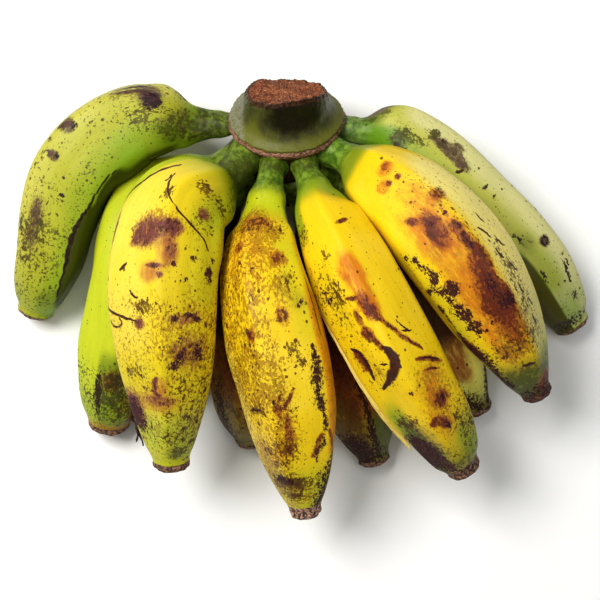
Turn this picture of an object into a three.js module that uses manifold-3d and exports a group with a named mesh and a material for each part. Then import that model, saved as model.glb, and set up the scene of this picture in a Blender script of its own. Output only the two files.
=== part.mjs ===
// A hand of eleven short, ridged cooking bananas, still joined to its piece of bunch stalk.
// It lies on its open side: the stalk's lower cut end and the finger tips touch the surface.
// Millimetres, +Z up, +X across the hand, +Y from the finger tips towards the stalk.

import * as THREE from 'three';
import { mergeVertices } from 'three/addons/utils/BufferGeometryUtils.js';
import Module from 'manifold-3d';

const wasm = await Module();
wasm.setup();

// ---- Driving dimensions ------------------------------------------------------------------

const GAP = 0.35;             // clearance kept between a finger and the crown
const STALK_LEAN = 42;        // degrees the stalk leans back from upright
const HAND_PITCH = 6.2;       // degrees the whole hand is pitched about X to lie flat

const CUT_HEIGHT = 12.6;      // middle of the slanted upper cut, above the ring
const CUT_SLANT = 26;         // degrees between that cut and a square one
const STALK_DROP = 32.2;      // lower cut end, below the ring
const CROWN_SIDES = 36;

const STUB_LENGTH = 5;        // the blunt end where the flower dropped off
const STUB_BEVEL = 1.2;
const RIDGES_FROM = 6;        // radius at which a finger's ridges begin to show
const RIDGES_FULL = 12;       // and at which they stand at their full height
const FINGER_SIDES = 20;
const FINGER_RINGS = 24;
const RING_CROWDING = 0.05;   // how much closer the rings lie towards both ends

// Distance from the stalk's axis at which the fingers of each row leave it.
const OUTER_ROW = 17;
const INNER_ROW = 16;

// One row for each finger, left to right. `azimuth` is the side of the stalk it leaves, in
// degrees from the front, and `height` is measured there from the ring. `through` holds the
// points that its middle line then passes, the last one at the tip. `neck` is the pedicel's
// radius. `thick` is the finger's greatest width, and `deep` the other way across as a share of
// it. `shoulder` and `taper` shape the swelling after the pedicel and the fall to the tip: the
// smaller, the blunter. `stub` is the radius of its blunt end. `ridges` run along it, turned by
// `turn` degrees, and `sharp` is their height as a share of its radius.
const FINGERS = [
  {
    name: 'outer_finger_1', azimuth: -92, row: OUTER_ROW, height: -3, pedicel: 32, neck: 5.2,
    through: [[-32, -2, -4], [-55, 0, -2], [-79, -20, -4], [-89, -51.4, -11], [-97, -72.4, -21.3]],
    thick: 32, deep: 1, shoulder: 0.6, taper: 0.68, stub: 7, ridges: 4, turn: 18, sharp: 0.05,
    colour: 0x94a62a,
  },
  {
    name: 'inner_finger_1', azimuth: -96, row: INNER_ROW, height: -16, pedicel: 20, neck: 4.7,
    through: [[-25, -16, -11], [-47.5, -31, -10], [-55, -53, -4], [-64, -86, -6], [-69, -116, -17]],
    thick: 30, deep: 1, shoulder: 0.55, taper: 0.6, stub: 6.5, ridges: 5, turn: 0, sharp: 0.03,
    colour: 0xa9bf2a,
  },
  {
    name: 'outer_finger_2', azimuth: -52, row: OUTER_ROW, height: -8, pedicel: 26, neck: 6.4,
    through: [[-22, -24, 10], [-38, -35, 26], [-42.5, -57, 32], [-42, -85, 29], [-41, -127.6, 14]],
    thick: 38.5, deep: 0.9, shoulder: 0.7, taper: 0.88, stub: 6.8, ridges: 5, turn: -36, sharp: 0.03,
    colour: 0xc9a81c,
  },
  {
    name: 'inner_finger_2', azimuth: -57.6, row: INNER_ROW, height: -18, pedicel: 24, neck: 4.7,
    through: [[-20, -28, -15], [-29, -46, -16], [-35, -70, -15], [-44, -94, -15], [-55.5, -115, -15]],
    thick: 22, deep: 1, shoulder: 1, taper: 1.1, stub: 5.6, ridges: 5, turn: 0, sharp: 0.03,
    colour: 0xa39a24,
  },
  {
    name: 'inner_finger_3', azimuth: -22, row: INNER_ROW, height: -19, pedicel: 24, neck: 4.7,
    through: [[-9, -30, -10], [-11, -52, -6], [-12.4, -79, -5], [-14, -105, -8], [-13.8, -122, -16]],
    thick: 29, deep: 1, shoulder: 1.1, taper: 0.65, stub: 6, ridges: 5, turn: 0, sharp: 0.03,
    colour: 0xa8841c,
  },
  {
    name: 'outer_finger_3', azimuth: -14, row: OUTER_ROW, height: -8, pedicel: 15, neck: 4.7,
    through: [[-5, -20, 10], [-8, -50, 24], [-5, -70, 32], [2, -102, 27], [7.4, -145, 14]],
    thick: 34.5, deep: 1, shoulder: 1.05, taper: 0.85, stub: 6, ridges: 5, turn: 60, sharp: 0.035,
    colour: 0xc7a01a,
  },
  {
    name: 'inner_finger_4', azimuth: 14, row: INNER_ROW, height: -19, pedicel: 24, neck: 4.7,
    through: [[6, -31, -10], [15, -58, -6], [22, -84, -6], [27, -106, -8], [34, -129, -15]],
    thick: 30, deep: 1, shoulder: 1.1, taper: 0.8, stub: 6, ridges: 5, turn: 0, sharp: 0.03,
    colour: 0xa88d1c,
  },
  {
    name: 'outer_finger_4', azimuth: 22, row: OUTER_ROW, height: -8, pedicel: 15, neck: 4.7,
    through: [[8, -22, 10], [18.5, -46, 24], [30, -72, 31], [45, -99, 28], [65, -129, 15]],
    thick: 32, deep: 1, shoulder: 0.8, taper: 0.65, stub: 6.4, ridges: 5, turn: -88, sharp: 0.035,
    colour: 0xd9b81e,
  },
  {
    name: 'inner_finger_5', azimuth: 50, row: INNER_ROW, height: -18, pedicel: 22, neck: 4.7,
    through: [[19, -22, -10], [39, -44, -8], [54, -67, -8], [64, -90, -10], [73, -110, -17]],
    thick: 30, deep: 1, shoulder: 1.0, taper: 0.95, stub: 6, ridges: 5, turn: 0, sharp: 0.03,
    colour: 0xd2b41e,
  },
  {
    name: 'outer_finger_5', azimuth: 58, row: OUTER_ROW, height: -7, pedicel: 15, neck: 5.6,
    through: [[23, -16, 6], [42, -30.5, 18], [58.7, -49.7, 26], [76.4, -76.5, 22], [92, -102, 10]],
    thick: 36.4, deep: 1, shoulder: 0.8, taper: 0.85, stub: 5.8, ridges: 5, turn: -92, sharp: 0.035,
    colour: 0xcf9d1c,
  },
  {
    name: 'outer_finger_6', azimuth: 97, row: OUTER_ROW, height: -3, pedicel: 22, neck: 5,
    through: [[26, -4, -5], [42, -6, -6], [67.5, -28, -8], [93.5, -54, -12], [110, -77.5, -20.3]],
    thick: 29, deep: 1, shoulder: 0.45, taper: 0.55, stub: 7.3, ridges: 4, turn: -92, sharp: 0.05,
    colour: 0x9eac35,
  },
];

// ---- Helpers -----------------------------------------------------------------------------

const { clamp, lerp, smoothstep, degToRad: rad } = THREE.MathUtils;
const lean = new THREE.Matrix4().makeRotationX(-rad(STALK_LEAN));

function solid(geometry) {
  const bare = geometry.clone();
  bare.deleteAttribute('normal');
  bare.deleteAttribute('uv');
  const merged = mergeVertices(bare, 1e-4);
  return new wasm.Manifold(new wasm.Mesh({
    numProp: 3,
    vertProperties: new Float32Array(merged.attributes.position.array),
    triVerts: new Uint32Array(merged.index.array),
  }));
}

function geometryOf(body) {
  const mesh = body.getMesh();
  const geometry = new THREE.BufferGeometry();
  geometry.setAttribute('position', new THREE.BufferAttribute(mesh.vertProperties, 3));
  geometry.setIndex(new THREE.BufferAttribute(mesh.triVerts, 1));
  return geometry;
}

function meshOf(name, geometry, colour, roughness) {
  geometry.computeVertexNormals();
  const material = new THREE.MeshStandardMaterial({ color: colour, roughness, metalness: 0 });
  const mesh = new THREE.Mesh(geometry, material);
  mesh.name = name;
  return mesh;
}

// ---- Fingers -----------------------------------------------------------------------------

function spineOf(finger) {
  const angle = rad(finger.azimuth);
  const root = new THREE.Vector3(
    finger.row * Math.sin(angle),
    -finger.row * Math.cos(angle),
    finger.height,
  );
  const stops = finger.through.map(([x, y, z]) => new THREE.Vector3(x, y, z));
  return new THREE.CatmullRomCurve3([root.applyMatrix4(lean), ...stops]);
}

// The direction that the finger's back faces: out from the stalk and up along it.
function backOf(finger) {
  const angle = rad(finger.azimuth);
  return new THREE.Vector3(Math.sin(angle), -Math.cos(angle), 1).applyMatrix4(lean);
}

// Half the finger's width at a distance along it: a slim pedicel, a quick shoulder, the belly,
// then the fall to a short blunt stub.
function halfWidth(finger, along, length) {
  const start = finger.pedicel * 0.6;
  const share = clamp((along - start) / (length - STUB_LENGTH - start), 0, 1);
  const peak = finger.shoulder / (finger.shoulder + finger.taper);
  const rise = (share / peak) ** finger.shoulder;
  const fall = ((1 - share) / (1 - peak)) ** finger.taper;
  const bulge = rise * fall * smoothstep(share, -0.04, 0.1);
  const slim = lerp(finger.neck, finger.stub, share);
  return slim + (finger.thick / 2 - slim) * bulge;
}

// The straight finger's outline, from the flat root to the bevelled tip.
function outlineOf(finger, length, grow) {
  const outline = [new THREE.Vector2(0, -grow)];
  for (let i = 0; i < FINGER_RINGS; i++) {
    const step = i / FINGER_RINGS;
    const along = length * (step - RING_CROWDING * Math.sin(2 * Math.PI * step));
    const ring = new THREE.Vector2(halfWidth(finger, along, length) + grow, along);
    outline.push(ring);
  }
  outline[1].y = -grow;
  outline.push(new THREE.Vector2(finger.stub - STUB_BEVEL + grow, length + grow));
  outline.push(new THREE.Vector2(0, length + grow));
  return outline;
}

// Lathes the straight finger, then gives its section ridges and bends it along its middle line.
function fingerGeometry(finger, grow = 0) {
  const spine = spineOf(finger);
  spine.arcLengthDivisions = 400;
  const length = spine.getLength();
  const geometry = new THREE.LatheGeometry(outlineOf(finger, length, grow), FINGER_SIDES);
  const back = backOf(finger);
  const places = geometry.attributes.position;
  for (let i = 0; i < places.count; i++) {
    const straight = new THREE.Vector3().fromBufferAttribute(places, i);
    const radius = Math.hypot(straight.x, straight.z);
    const around = Math.atan2(straight.z, straight.x) - rad(finger.turn);
    const shown = clamp((radius - RIDGES_FROM) / (RIDGES_FULL - RIDGES_FROM), 0, 1);
    const ridge = 1 + finger.sharp * shown * Math.cos(finger.ridges * around);
    const share = clamp(straight.y / length, 0, 1);
    const heading = spine.getTangentAt(share);
    const outward = back.clone().addScaledVector(heading, -back.dot(heading)).normalize();
    const sideways = outward.clone().cross(heading);
    const place = spine.getPointAt(share);
    place.addScaledVector(outward, straight.x * ridge * lerp(1, finger.deep, shown));
    place.addScaledVector(sideways, straight.z * ridge);
    place.addScaledVector(heading, straight.y - share * length);
    places.setXYZ(i, place.x, place.y, place.z);
  }
  return geometry;
}

// ---- Crown -------------------------------------------------------------------------------

// The piece of bunch stalk: a flared lower part, the corky ring, a skirt that sweeps up from it
// and the neck with its slanted cut. Each finger's root then gets a socket of its own shape.
function crownGeometry() {
  const outline = [
    [0, -STALK_DROP], [14, -STALK_DROP], [15, -STALK_DROP + 1.5], [16.5, -26], [18, -20],
    [19, -12], [19, -6], [19.4, -3.4],
    [20.4, -2.4], [20.9, -0.6], [20.6, 0.9], [19.8, 1.6],
    [18.4, 2.6], [17.2, 4.2], [16.2, 6.4], [15.5, 9], [15.1, 12], [14.9, 16], [14.9, 26], [0, 26],
  ].map(([radius, height]) => new THREE.Vector2(radius, height));
  const turned = new THREE.LatheGeometry(outline, CROWN_SIDES);
  turned.rotateX(rad(90));
  const waste = new THREE.BoxGeometry(60, 60, 40);
  waste.translate(0, 0, 20);
  waste.rotateX(-rad(CUT_SLANT));
  waste.translate(0, 0, CUT_HEIGHT);
  let body = solid(turned).subtract(solid(waste));
  const upright = lean.clone().invert();
  for (const finger of FINGERS) {
    body = body.subtract(solid(fingerGeometry(finger, GAP).applyMatrix4(upright)));
  }
  return geometryOf(body).applyMatrix4(lean);
}

// ---- The whole hand ----------------------------------------------------------------------

const CROWN_COLOUR = 0x5f5a3a;
const CROWN_ROUGHNESS = 0.75;
const PEEL_ROUGHNESS = 0.45;

const hand = new THREE.Group();
hand.add(meshOf('crown', crownGeometry(), CROWN_COLOUR, CROWN_ROUGHNESS));
for (const finger of FINGERS) {
  hand.add(meshOf(finger.name, fingerGeometry(finger), finger.colour, PEEL_ROUGHNESS));
}
hand.rotation.x = rad(HAND_PITCH);

// The origin is the middle of the hand's box, on the surface that it lies on.
const part = new THREE.Group();
part.add(hand);
const box = new THREE.Box3().setFromObject(part, true);
const centre = box.getCenter(new THREE.Vector3());
hand.position.set(-centre.x, -centre.y, -box.min.z);

export default part;
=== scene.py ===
"""The looks of a hand of eleven short, ridged cooking bananas on their piece of bunch stalk.

Blender 4.5, metres, +Z up, +X across the hand and +Y from the finger tips towards the stalk.
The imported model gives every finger's course and thickness. Each one is laid out again here as
a fine skin, and the stalk is rebuilt round its own axis.
"""

import math

import bpy
import numpy as np
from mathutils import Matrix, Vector


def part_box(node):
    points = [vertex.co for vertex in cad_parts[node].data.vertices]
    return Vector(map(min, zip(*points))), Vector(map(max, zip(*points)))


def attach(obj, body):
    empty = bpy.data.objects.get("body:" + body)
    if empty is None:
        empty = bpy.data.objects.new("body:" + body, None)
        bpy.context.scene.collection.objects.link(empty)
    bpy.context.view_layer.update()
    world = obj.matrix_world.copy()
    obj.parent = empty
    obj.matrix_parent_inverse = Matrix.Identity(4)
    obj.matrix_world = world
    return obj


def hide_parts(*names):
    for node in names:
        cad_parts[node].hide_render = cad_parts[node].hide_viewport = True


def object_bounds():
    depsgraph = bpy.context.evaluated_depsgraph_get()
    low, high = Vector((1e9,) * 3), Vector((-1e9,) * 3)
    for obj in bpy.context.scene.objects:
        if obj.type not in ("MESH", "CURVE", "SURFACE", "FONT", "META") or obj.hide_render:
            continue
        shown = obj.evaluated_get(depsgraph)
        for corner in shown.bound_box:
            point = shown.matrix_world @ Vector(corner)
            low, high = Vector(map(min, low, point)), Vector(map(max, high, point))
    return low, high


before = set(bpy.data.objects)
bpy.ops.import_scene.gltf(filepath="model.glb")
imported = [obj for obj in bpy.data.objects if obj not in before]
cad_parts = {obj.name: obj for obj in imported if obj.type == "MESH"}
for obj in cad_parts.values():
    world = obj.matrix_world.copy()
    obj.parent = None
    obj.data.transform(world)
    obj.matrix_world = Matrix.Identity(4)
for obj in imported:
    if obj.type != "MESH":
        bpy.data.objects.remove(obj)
cad_low, cad_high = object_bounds()

# ---- The view, the light and the floor ---------------------------------------------------
# The hand lies on a pale floor and is looked down on from just in front of it. A wide soft
# light hangs behind the stalk, a weaker one stands in front, and the room is evenly pale.

CAMERA_ELEVATION = math.radians(83.8)
CAMERA_DISTANCE = 0.550
CAMERA_LENS = 89.2
CAMERA_AIM = np.array([-0.00105, -0.00176, -0.01215])   # from the middle of the hand's box
ROOM_TINT = (0.94, 0.97, 1.0, 1)
ROOM_STRENGTH = 0.13
FLOOR_HALF = 3.0

hand_middle = (np.array(cad_low) + np.array(cad_high)) / 2
camera = bpy.data.objects.new("camera", bpy.data.cameras.new("camera"))
camera.data.lens = CAMERA_LENS
camera.data.sensor_width = 36
camera.location = hand_middle + CAMERA_AIM + CAMERA_DISTANCE * np.array(
    [0, -math.cos(CAMERA_ELEVATION), math.sin(CAMERA_ELEVATION)])
camera.rotation_euler = (math.pi / 2 - CAMERA_ELEVATION, 0, 0)
bpy.context.scene.collection.objects.link(camera)
bpy.context.scene.camera = camera
bpy.context.scene.view_settings.view_transform = "Standard"
bpy.context.scene.view_settings.look = "Medium High Contrast"


def add_softbox(name, place, width, power, tint):
    """A square area light at a place given from the middle of the hand, turned towards it."""
    light = bpy.data.lights.new(name, "AREA")
    light.size = width
    light.energy = power
    light.color = tint
    box = bpy.data.objects.new(name, light)
    box.location = hand_middle + np.array(place)
    box.rotation_euler = Vector(place).to_track_quat("Z", "Y").to_euler()
    bpy.context.scene.collection.objects.link(box)


add_softbox("window", (-0.45, 0.24, 0.85), 0.50, 9.0, (1.0, 0.985, 0.95))
add_softbox("room", (0.26, -0.06, 1.10), 0.80, 3.4, (0.98, 0.99, 1.0))
world = bpy.data.worlds.new("room light")
world.use_nodes = True
world.node_tree.nodes["Background"].inputs["Color"].default_value = ROOM_TINT
world.node_tree.nodes["Background"].inputs["Strength"].default_value = ROOM_STRENGTH
bpy.context.scene.world = world


def linear(code):
    """A colour such as "#f2d21e" as the shader's four numbers."""
    parts = [int(code[i:i + 2], 16) / 255 for i in (1, 3, 5)]
    return [p / 12.92 if p <= 0.04045 else ((p + 0.055) / 1.055) ** 2.4 for p in parts] + [1]


def new_material(name):
    """A material and its shader. The shading steps that follow are added to it."""
    global tree
    material = bpy.data.materials.new(name)
    material.use_nodes = True
    tree = material.node_tree
    return material, tree.nodes["Principled BSDF"]


def fill(node, values):
    """Gives a node's inputs, by name or number, a number, a colour's code or an earlier step."""
    for key, value in values.items():
        if isinstance(value, bpy.types.NodeSocket):
            tree.links.new(value, node.inputs[key])
        else:
            node.inputs[key].default_value = linear(value) if isinstance(value, str) else value


def add_node(kind, values, **settings):
    """Adds one shading step and says what comes out of it."""
    node = tree.nodes.new(kind)
    for key, value in settings.items():
        setattr(node, key, value)
    fill(node, values)
    return node.outputs


def blend(share, under, over, how="MIX"):
    """Lays one colour over another."""
    return add_node("ShaderNodeMix", {0: share, 6: under, 7: over}, data_type="RGBA", blend_type=how)[2]


def noise(place, scale, detail=3.0, rough=0.55):
    """Soft noise from 0 to 1, its scale in lumps per unit of `place`."""
    return add_node("ShaderNodeTexNoise", {"Vector": place, "Scale": scale, "Detail": detail,
                                           "Roughness": rough})["Fac"]


def make_mesh(name, places, faces, material, carries=None, corners=None):
    """A smooth object from its places in metres. `carries` holds what each place tells the
    shader, and `corners` the flat layout of each face corner."""
    mesh = bpy.data.meshes.new(name)
    mesh.from_pydata(places.tolist(), [], faces)
    mesh.update()
    mesh.shade_smooth()
    if corners is not None:
        mesh.uv_layers.new(name="OFBake").data.foreach_set("uv", corners.astype(np.float32).ravel())
    for label, values in (carries or {}).items():
        kind, key = ("FLOAT", "value") if values.ndim == 1 else ("FLOAT_VECTOR", "vector")
        mesh.attributes.new(label, kind, "POINT").data.foreach_set(key, values.astype(np.float32).ravel())
    mesh.materials.append(material)
    made = bpy.data.objects.new(name, mesh)
    bpy.context.scene.collection.objects.link(made)
    return made


floor_material, shader = new_material("pale floor")
grain = noise(add_node("ShaderNodeTexCoord", {})["Object"], 60.0, 4.0)
fill(shader, {"Base Color": blend(grain, "#f4f4f3", "#fafafa"), "Roughness": 0.85})
floor_places = np.array([[-1, -1, 0], [1, -1, 0], [1, 1, 0], [-1, 1, 0]]) * FLOOR_HALF
floor = make_mesh("floor", floor_places + [0, 0, cad_low.z], [(0, 1, 2, 3)], floor_material)


# ---- The peel, as all the fingers share it -----------------------------------------------
# Every finger grew as one piece: a green pedicel, a ridged belly and a blunt tip where the
# flower dropped off. Its waxy peel turns from green to yellow and bruises brown.

MM = 0.001
# Of these fields, olive is painted shade, the soiling field is partly soiling and partly painted shade, and
# pale is painted light on some fingers.
FIELDS = ("green", "pale", "stem", "rust", "mottle", "bruise", "black", "freckle", "grime", "olive",
          "scratch", "scar")
SECTION_WAVES = 6             # waves kept when a finger's section is read from the model
FINE = 0.001 * MM             # places nearer to each other than this are one
ROOT_DEPTH = 4 * MM           # how far each pedicel runs on into the stalk
BLUNT_RIM = 2.5 * MM          # the rounding between a finger's side and its end
RIM_ROWS = 12
END_ROWS = 10
COURSE_STEPS = 1200           # steps in which a finger's course is read
RIDGE_SHARPNESS = 3.0
PATCH_DEPTH = 14 * MM         # how far down round the curve a mark still takes
LINE_SHAKE = 0.16 * MM
LINE_STEPS = 16               # between two points of a line
WAVES = 28                    # summed in each set of smooth bumps
waves = np.random.default_rng(11)


def wavy(places, size):
    """Smooth bumps from about -1 to 1 whose width is near `size`, at each place in metres."""
    directions = waves.normal(size=(WAVES, 3))
    directions /= np.linalg.norm(directions, axis=1)[:, None]
    speeds = 2 * math.pi / size * waves.uniform(0.6, 1.4, WAVES)
    starts = waves.uniform(0, 2 * math.pi, WAVES)
    turned = places.reshape(-1, 3) @ (directions * speeds[:, None]).T + starts
    return np.sin(turned).mean(1).reshape(places.shape[:-1]) * math.sqrt(WAVES) / 1.6


def unit(directions):
    return directions / np.linalg.norm(directions, axis=-1, keepdims=True)


def soft_step(value, low, high):
    t = np.clip((value - low) / (high - low), 0, 1)
    return t * t * (3 - 2 * t)


def smooth_through(knots, values, at):
    """The smooth curve through `values` at `knots`, read at the distances `at`."""
    steps = np.diff(knots)
    slopes = np.diff(values, axis=0) / steps[:, None]
    system = np.eye(len(knots))
    bends = np.zeros_like(values)
    for i in range(1, len(knots) - 1):
        system[i, i - 1:i + 2] = steps[i - 1], 2 * (steps[i - 1] + steps[i]), steps[i]
        bends[i] = 6 * (slopes[i] - slopes[i - 1])
    bends = np.linalg.solve(system, bends)
    k = np.clip(np.searchsorted(knots, at) - 1, 0, len(knots) - 2)
    on, step = (at - knots[k])[:, None], steps[k][:, None]
    first = slopes[k] - step * (2 * bends[k] + bends[k + 1]) / 6
    return values[k] + first * on + bends[k] * on**2 / 2 + (bends[k + 1] - bends[k]) * on**3 / (6 * step)


def places_of(node):
    """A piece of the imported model, and its places."""
    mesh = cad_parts[node].data
    places = np.empty(len(mesh.vertices) * 3)
    mesh.vertices.foreach_get("co", places)
    return mesh, places.reshape(-1, 3)


def rings_of(node):
    """A finger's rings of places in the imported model, from its root to its tip."""
    mesh, places = places_of(node)
    spots, index = np.unique(np.round(places / FINE).astype(int), axis=0, return_inverse=True)
    index = index.reshape(-1)
    near = [set() for _ in spots]
    for face in mesh.polygons:
        ends = [int(index[v]) for v in face.vertices]
        for v in ends:
            near[v].update(ends)
    spots = spots * FINE
    crown_middle = np.mean(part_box("crown"), axis=0)
    most = max(len(n) for n in near)
    poles = [i for i, n in enumerate(near) if len(n) == most]
    root = min(poles, key=lambda i: np.linalg.norm(spots[i] - crown_middle))
    level = {root: 0}
    walk = [root]
    for i in walk:
        for j in near[i]:
            if j not in level:
                level[j] = level[i] + 1
                walk.append(j)
    return [spots[[i for i in level if level[i] == k]] for k in range(max(level.values()) + 1)]


def across(heading):
    """The directions up and to the right of each heading, square to it."""
    up = np.array([0, 0, 1.0])
    rising = unit(up - (heading @ up)[:, None] * heading)
    return rising, np.cross(rising, heading)


def round_about(angles, up, right):
    """The directions at these angles round each axis, from up towards the right."""
    return np.cos(angles)[:, None] * up[..., None, :] + np.sin(angles)[:, None] * right[..., None, :]


def wave_table(angles):
    """One column for each wave that a section is made of."""
    columns = [np.ones_like(angles)]
    for n in range(1, SECTION_WAVES + 1):
        columns += [np.cos(n * angles), np.sin(n * angles)]
    return np.stack(columns, 1)


def band(index):
    """Faces between the rows of a skin that closes round."""
    beside = np.roll(index, -1, 1)
    return np.stack([index[:-1], beside[:-1], beside[1:], index[1:]], -1).reshape(-1, 4).tolist()


def with_ends(rows):
    """What each place of a skin's rows has, and then the means of its last and first rows."""
    return np.concatenate([rows.reshape(-1, *rows.shape[2:]), rows[[-1, 0]].mean(1)])


def closed(count, sides):
    """Faces and flat layout of a skin of `count` rows round, with a fan over each end."""
    index = np.arange(count * sides).reshape(count, sides)
    far = np.roll(index, -1, 1)
    faces = band(index)
    faces += [(int(a), int(b), index.size) for a, b in zip(index[-1], far[-1])]
    faces += [(int(b), int(a), index.size + 1) for a, b in zip(index[0], far[0])]
    flat = np.stack(np.meshgrid(np.arange(sides + 1) / sides, np.linspace(0.01, 0.99, count)), -1)
    middle = (flat[0, :-1] + flat[0, 1:]) / 2 * [1, 0]
    corners = [np.stack([flat[:-1, :-1], flat[:-1, 1:], flat[1:, 1:], flat[1:, :-1]], 2),
               np.stack([flat[-1, :-1], flat[-1, 1:], middle + [0, 1]], 1),
               np.stack([flat[0, 1:], flat[0, :-1], middle], 1)]
    return faces, np.vstack([c.reshape(-1, 2) for c in corners])


class Finger:
    """A finger's skin, in rows from its root to its tip. Places on it are given as a share of
    its length and an angle round it: 0 is its upper side, and 90 its right seen root first."""

    def __init__(self, node, ridges, rows=300, sides=160, edge=0.045):
        self.node = node
        rings = rings_of(node)
        full, tip = rings[1:-2], rings[-1][0]
        middles = np.array([ring.mean(0) for ring in full] + [tip])
        knots = np.concatenate([[0], np.cumsum(np.linalg.norm(np.diff(middles, axis=0), axis=1))])
        length = knots[-1]
        body = np.linspace(-ROOT_DEPTH, length - BLUNT_RIM, rows)
        dense = np.linspace(-ROOT_DEPTH, length, COURSE_STEPS)
        headings = unit(np.gradient(smooth_through(knots, middles, dense), dense, axis=0))

        def heading_at(at):
            return unit(np.stack([np.interp(at, dense, headings[:, i]) for i in range(3)], 1))

        rising, right = across(heading_at(knots))
        sections = []
        for i, ring in enumerate(full):
            out = ring - middles[i]
            x, y = out @ rising[i], out @ right[i]
            table = wave_table(np.arctan2(y, x))
            sections.append(np.linalg.lstsq(table, np.hypot(x, y), rcond=None)[0])
        sections = np.array(sections + [sections[-1]])

        turn = np.linspace(0, math.pi / 2, RIM_ROWS + 1)[1:]
        end = np.linspace(1, 0, END_ROWS + 1)[1:-1]
        self.along = np.concatenate([body, np.full(len(turn) + len(end), length - BLUNT_RIM)])
        self.ahead = np.concatenate([0 * body, BLUNT_RIM * np.sin(turn), 0 * end + BLUNT_RIM])
        self.inset = np.concatenate([0 * body, BLUNT_RIM * (1 - np.cos(turn)), 0 * end + BLUNT_RIM])
        self.shrink = np.concatenate([np.ones(rows + len(turn)), end])
        self.share = np.clip((self.along + self.ahead) / length, 0, 1)
        self.around = np.linspace(0, 2 * math.pi, sides, endpoint=False)
        self.middle = smooth_through(knots, middles, self.along)
        self.heading = heading_at(self.along)
        self.spoke = round_about(self.around, *across(self.heading))
        waves_at = smooth_through(knots, sections, self.along)
        radius = waves_at @ wave_table(self.around).T
        belly = soft_step(radius.mean(1), 6 * MM, 12 * MM)[:, None]
        phase = np.arctan2(waves_at[:, 2 * ridges], waves_at[:, 2 * ridges - 1])
        crest = np.exp(RIDGE_SHARPNESS * (np.cos(ridges * self.around - phase[:, None]) - 1))
        radius *= 1 + edge * belly * (crest - crest.mean())
        self.radius = radius
        self.mean_radius = radius.mean(1)[:, None]
        self.fields = {name: np.zeros_like(radius) for name in FIELDS}
        self.strokes = {name: np.zeros_like(radius) for name in FIELDS}
        self.lay_out()

    def lay_out(self):
        """Works out each place on the skin from the radius round the middle line."""
        reach = (self.radius - self.inset[:, None]) * self.shrink[:, None]
        ahead = (self.ahead[:, None] * self.heading)[:, None]
        self.places = self.middle[:, None] + reach[..., None] * self.spoke + ahead
        flat_along = np.broadcast_to((self.along + self.ahead)[:, None], reach.shape)
        self.flat = np.stack([flat_along, reach * np.cos(self.around), reach * np.sin(self.around)], -1) / MM

    def at(self, share, angle):
        """The row and the place on the skin nearest to a share and an angle."""
        row = int(np.argmin(np.abs(self.share - share)))
        side = int(round(math.radians(angle) / (2 * math.pi) * len(self.around))) % len(self.around)
        return row, side

    def patch(self, share, angle, long, wide, turn=0.0):
        """How near each place is to a mark's middle: 1 well inside it, 0.5 on its edge, 0 outside."""
        row, side = self.at(share, angle)
        ahead, out = self.heading[row], self.spoke[row, side]
        beside = np.cross(out, ahead)
        away = self.places - self.places[row, side]
        c, s = math.cos(math.radians(turn)), math.sin(math.radians(turn))
        u = away @ (c * ahead + s * beside)
        v = away @ (c * beside - s * ahead)
        size = np.sqrt((2 * u / (long * MM)) ** 2 + (2 * v / (wide * MM)) ** 2
                       + (away @ out / PATCH_DEPTH) ** 4)
        return np.clip(1.5 - size, 0, 1)

    def swell(self, share, angle, long, wide, height):
        """Raises, or with a negative height sinks, the skin by millimetres."""
        near = self.patch(share, angle, long, wide)
        self.radius = self.radius + height * MM * soft_step(near, 0, 1)
        self.lay_out()

    def cover(self, field, much):
        self.fields[field] = 1 - (1 - self.fields[field]) * (1 - much)

    def washes(self, **fields):
        """Bands with soft edges: from one share to another, from one angle to another, how much
        of it, and how soft it is lengthwise (in shares) and round (in degrees)."""
        for field, bands in fields.items():
            for band_of in bands:
                self.wash(field, *band_of)

    def wash(self, field, start, stop, left=-180, right=180, much=1.0, soft=0.06, soft_angle=18):
        share = self.share[:, None]
        within = (soft_step(share, start - soft / 2, start + soft / 2)
                  * (1 - soft_step(share, stop - soft / 2, stop + soft / 2)))
        half = (right - left) / 2
        if half < 180:
            off = np.degrees(self.around)[None] - (left + right) / 2
            off = np.abs((off + 180) % 360 - 180)
            within = within * (1 - soft_step(off, half - soft_angle / 2, half + soft_angle / 2))
        self.cover(field, within * much)

    def marks(self, **fields):
        """Patches: share and angle, length and width in millimetres, how much, turn in degrees."""
        for field, patches in fields.items():
            for patch_of in patches:
                self.mark(field, *patch_of)

    def mark(self, field, share, angle, long, wide, much=1.0, turn=0.0):
        self.cover(field, self.patch(share, angle, long, wide, turn) * much)

    def line(self, points, width, field="scratch", much=1.0, ends=0.35, ramp=0.35):
        """A thin, slightly shaky mark through points of share and angle, `width` in millimetres.
        It narrows to the share `ends` of its width, as slowly as `ramp` is large."""
        knots = np.arange(len(points), dtype=float)
        steps = np.linspace(0, len(points) - 1, LINE_STEPS * (len(points) - 1) + 1)
        path = smooth_through(knots, np.array(points, float), steps)
        spots = np.array([self.places[self.at(*p)] for p in path])
        for _ in range(4):
            spots[1:-1] = (spots[:-2] + 2 * spots[1:-1] + spots[2:]) / 4
        shaky = LINE_SHAKE * np.stack([wavy(spots, 4 * MM) for _ in range(3)], 1)
        taper = ends + (1 - ends) * np.sin(math.pi * np.linspace(0, 1, len(spots))) ** ramp
        widths = width * MM * taper * (1 + 0.3 * wavy(spots, 5 * MM))
        spots += shaky
        near = np.zeros(self.radius.shape)
        for a, b, wide in zip(spots[:-1], spots[1:], widths):
            span = b - a
            t = np.clip((self.places - a) @ span / max(span @ span, 1e-12), 0, 1)
            away = np.linalg.norm(self.places - a - t[..., None] * span, axis=2)
            near = np.maximum(near, 1 - away / wide)
        self.strokes[field] = np.maximum(self.strokes[field], near * much)

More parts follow.
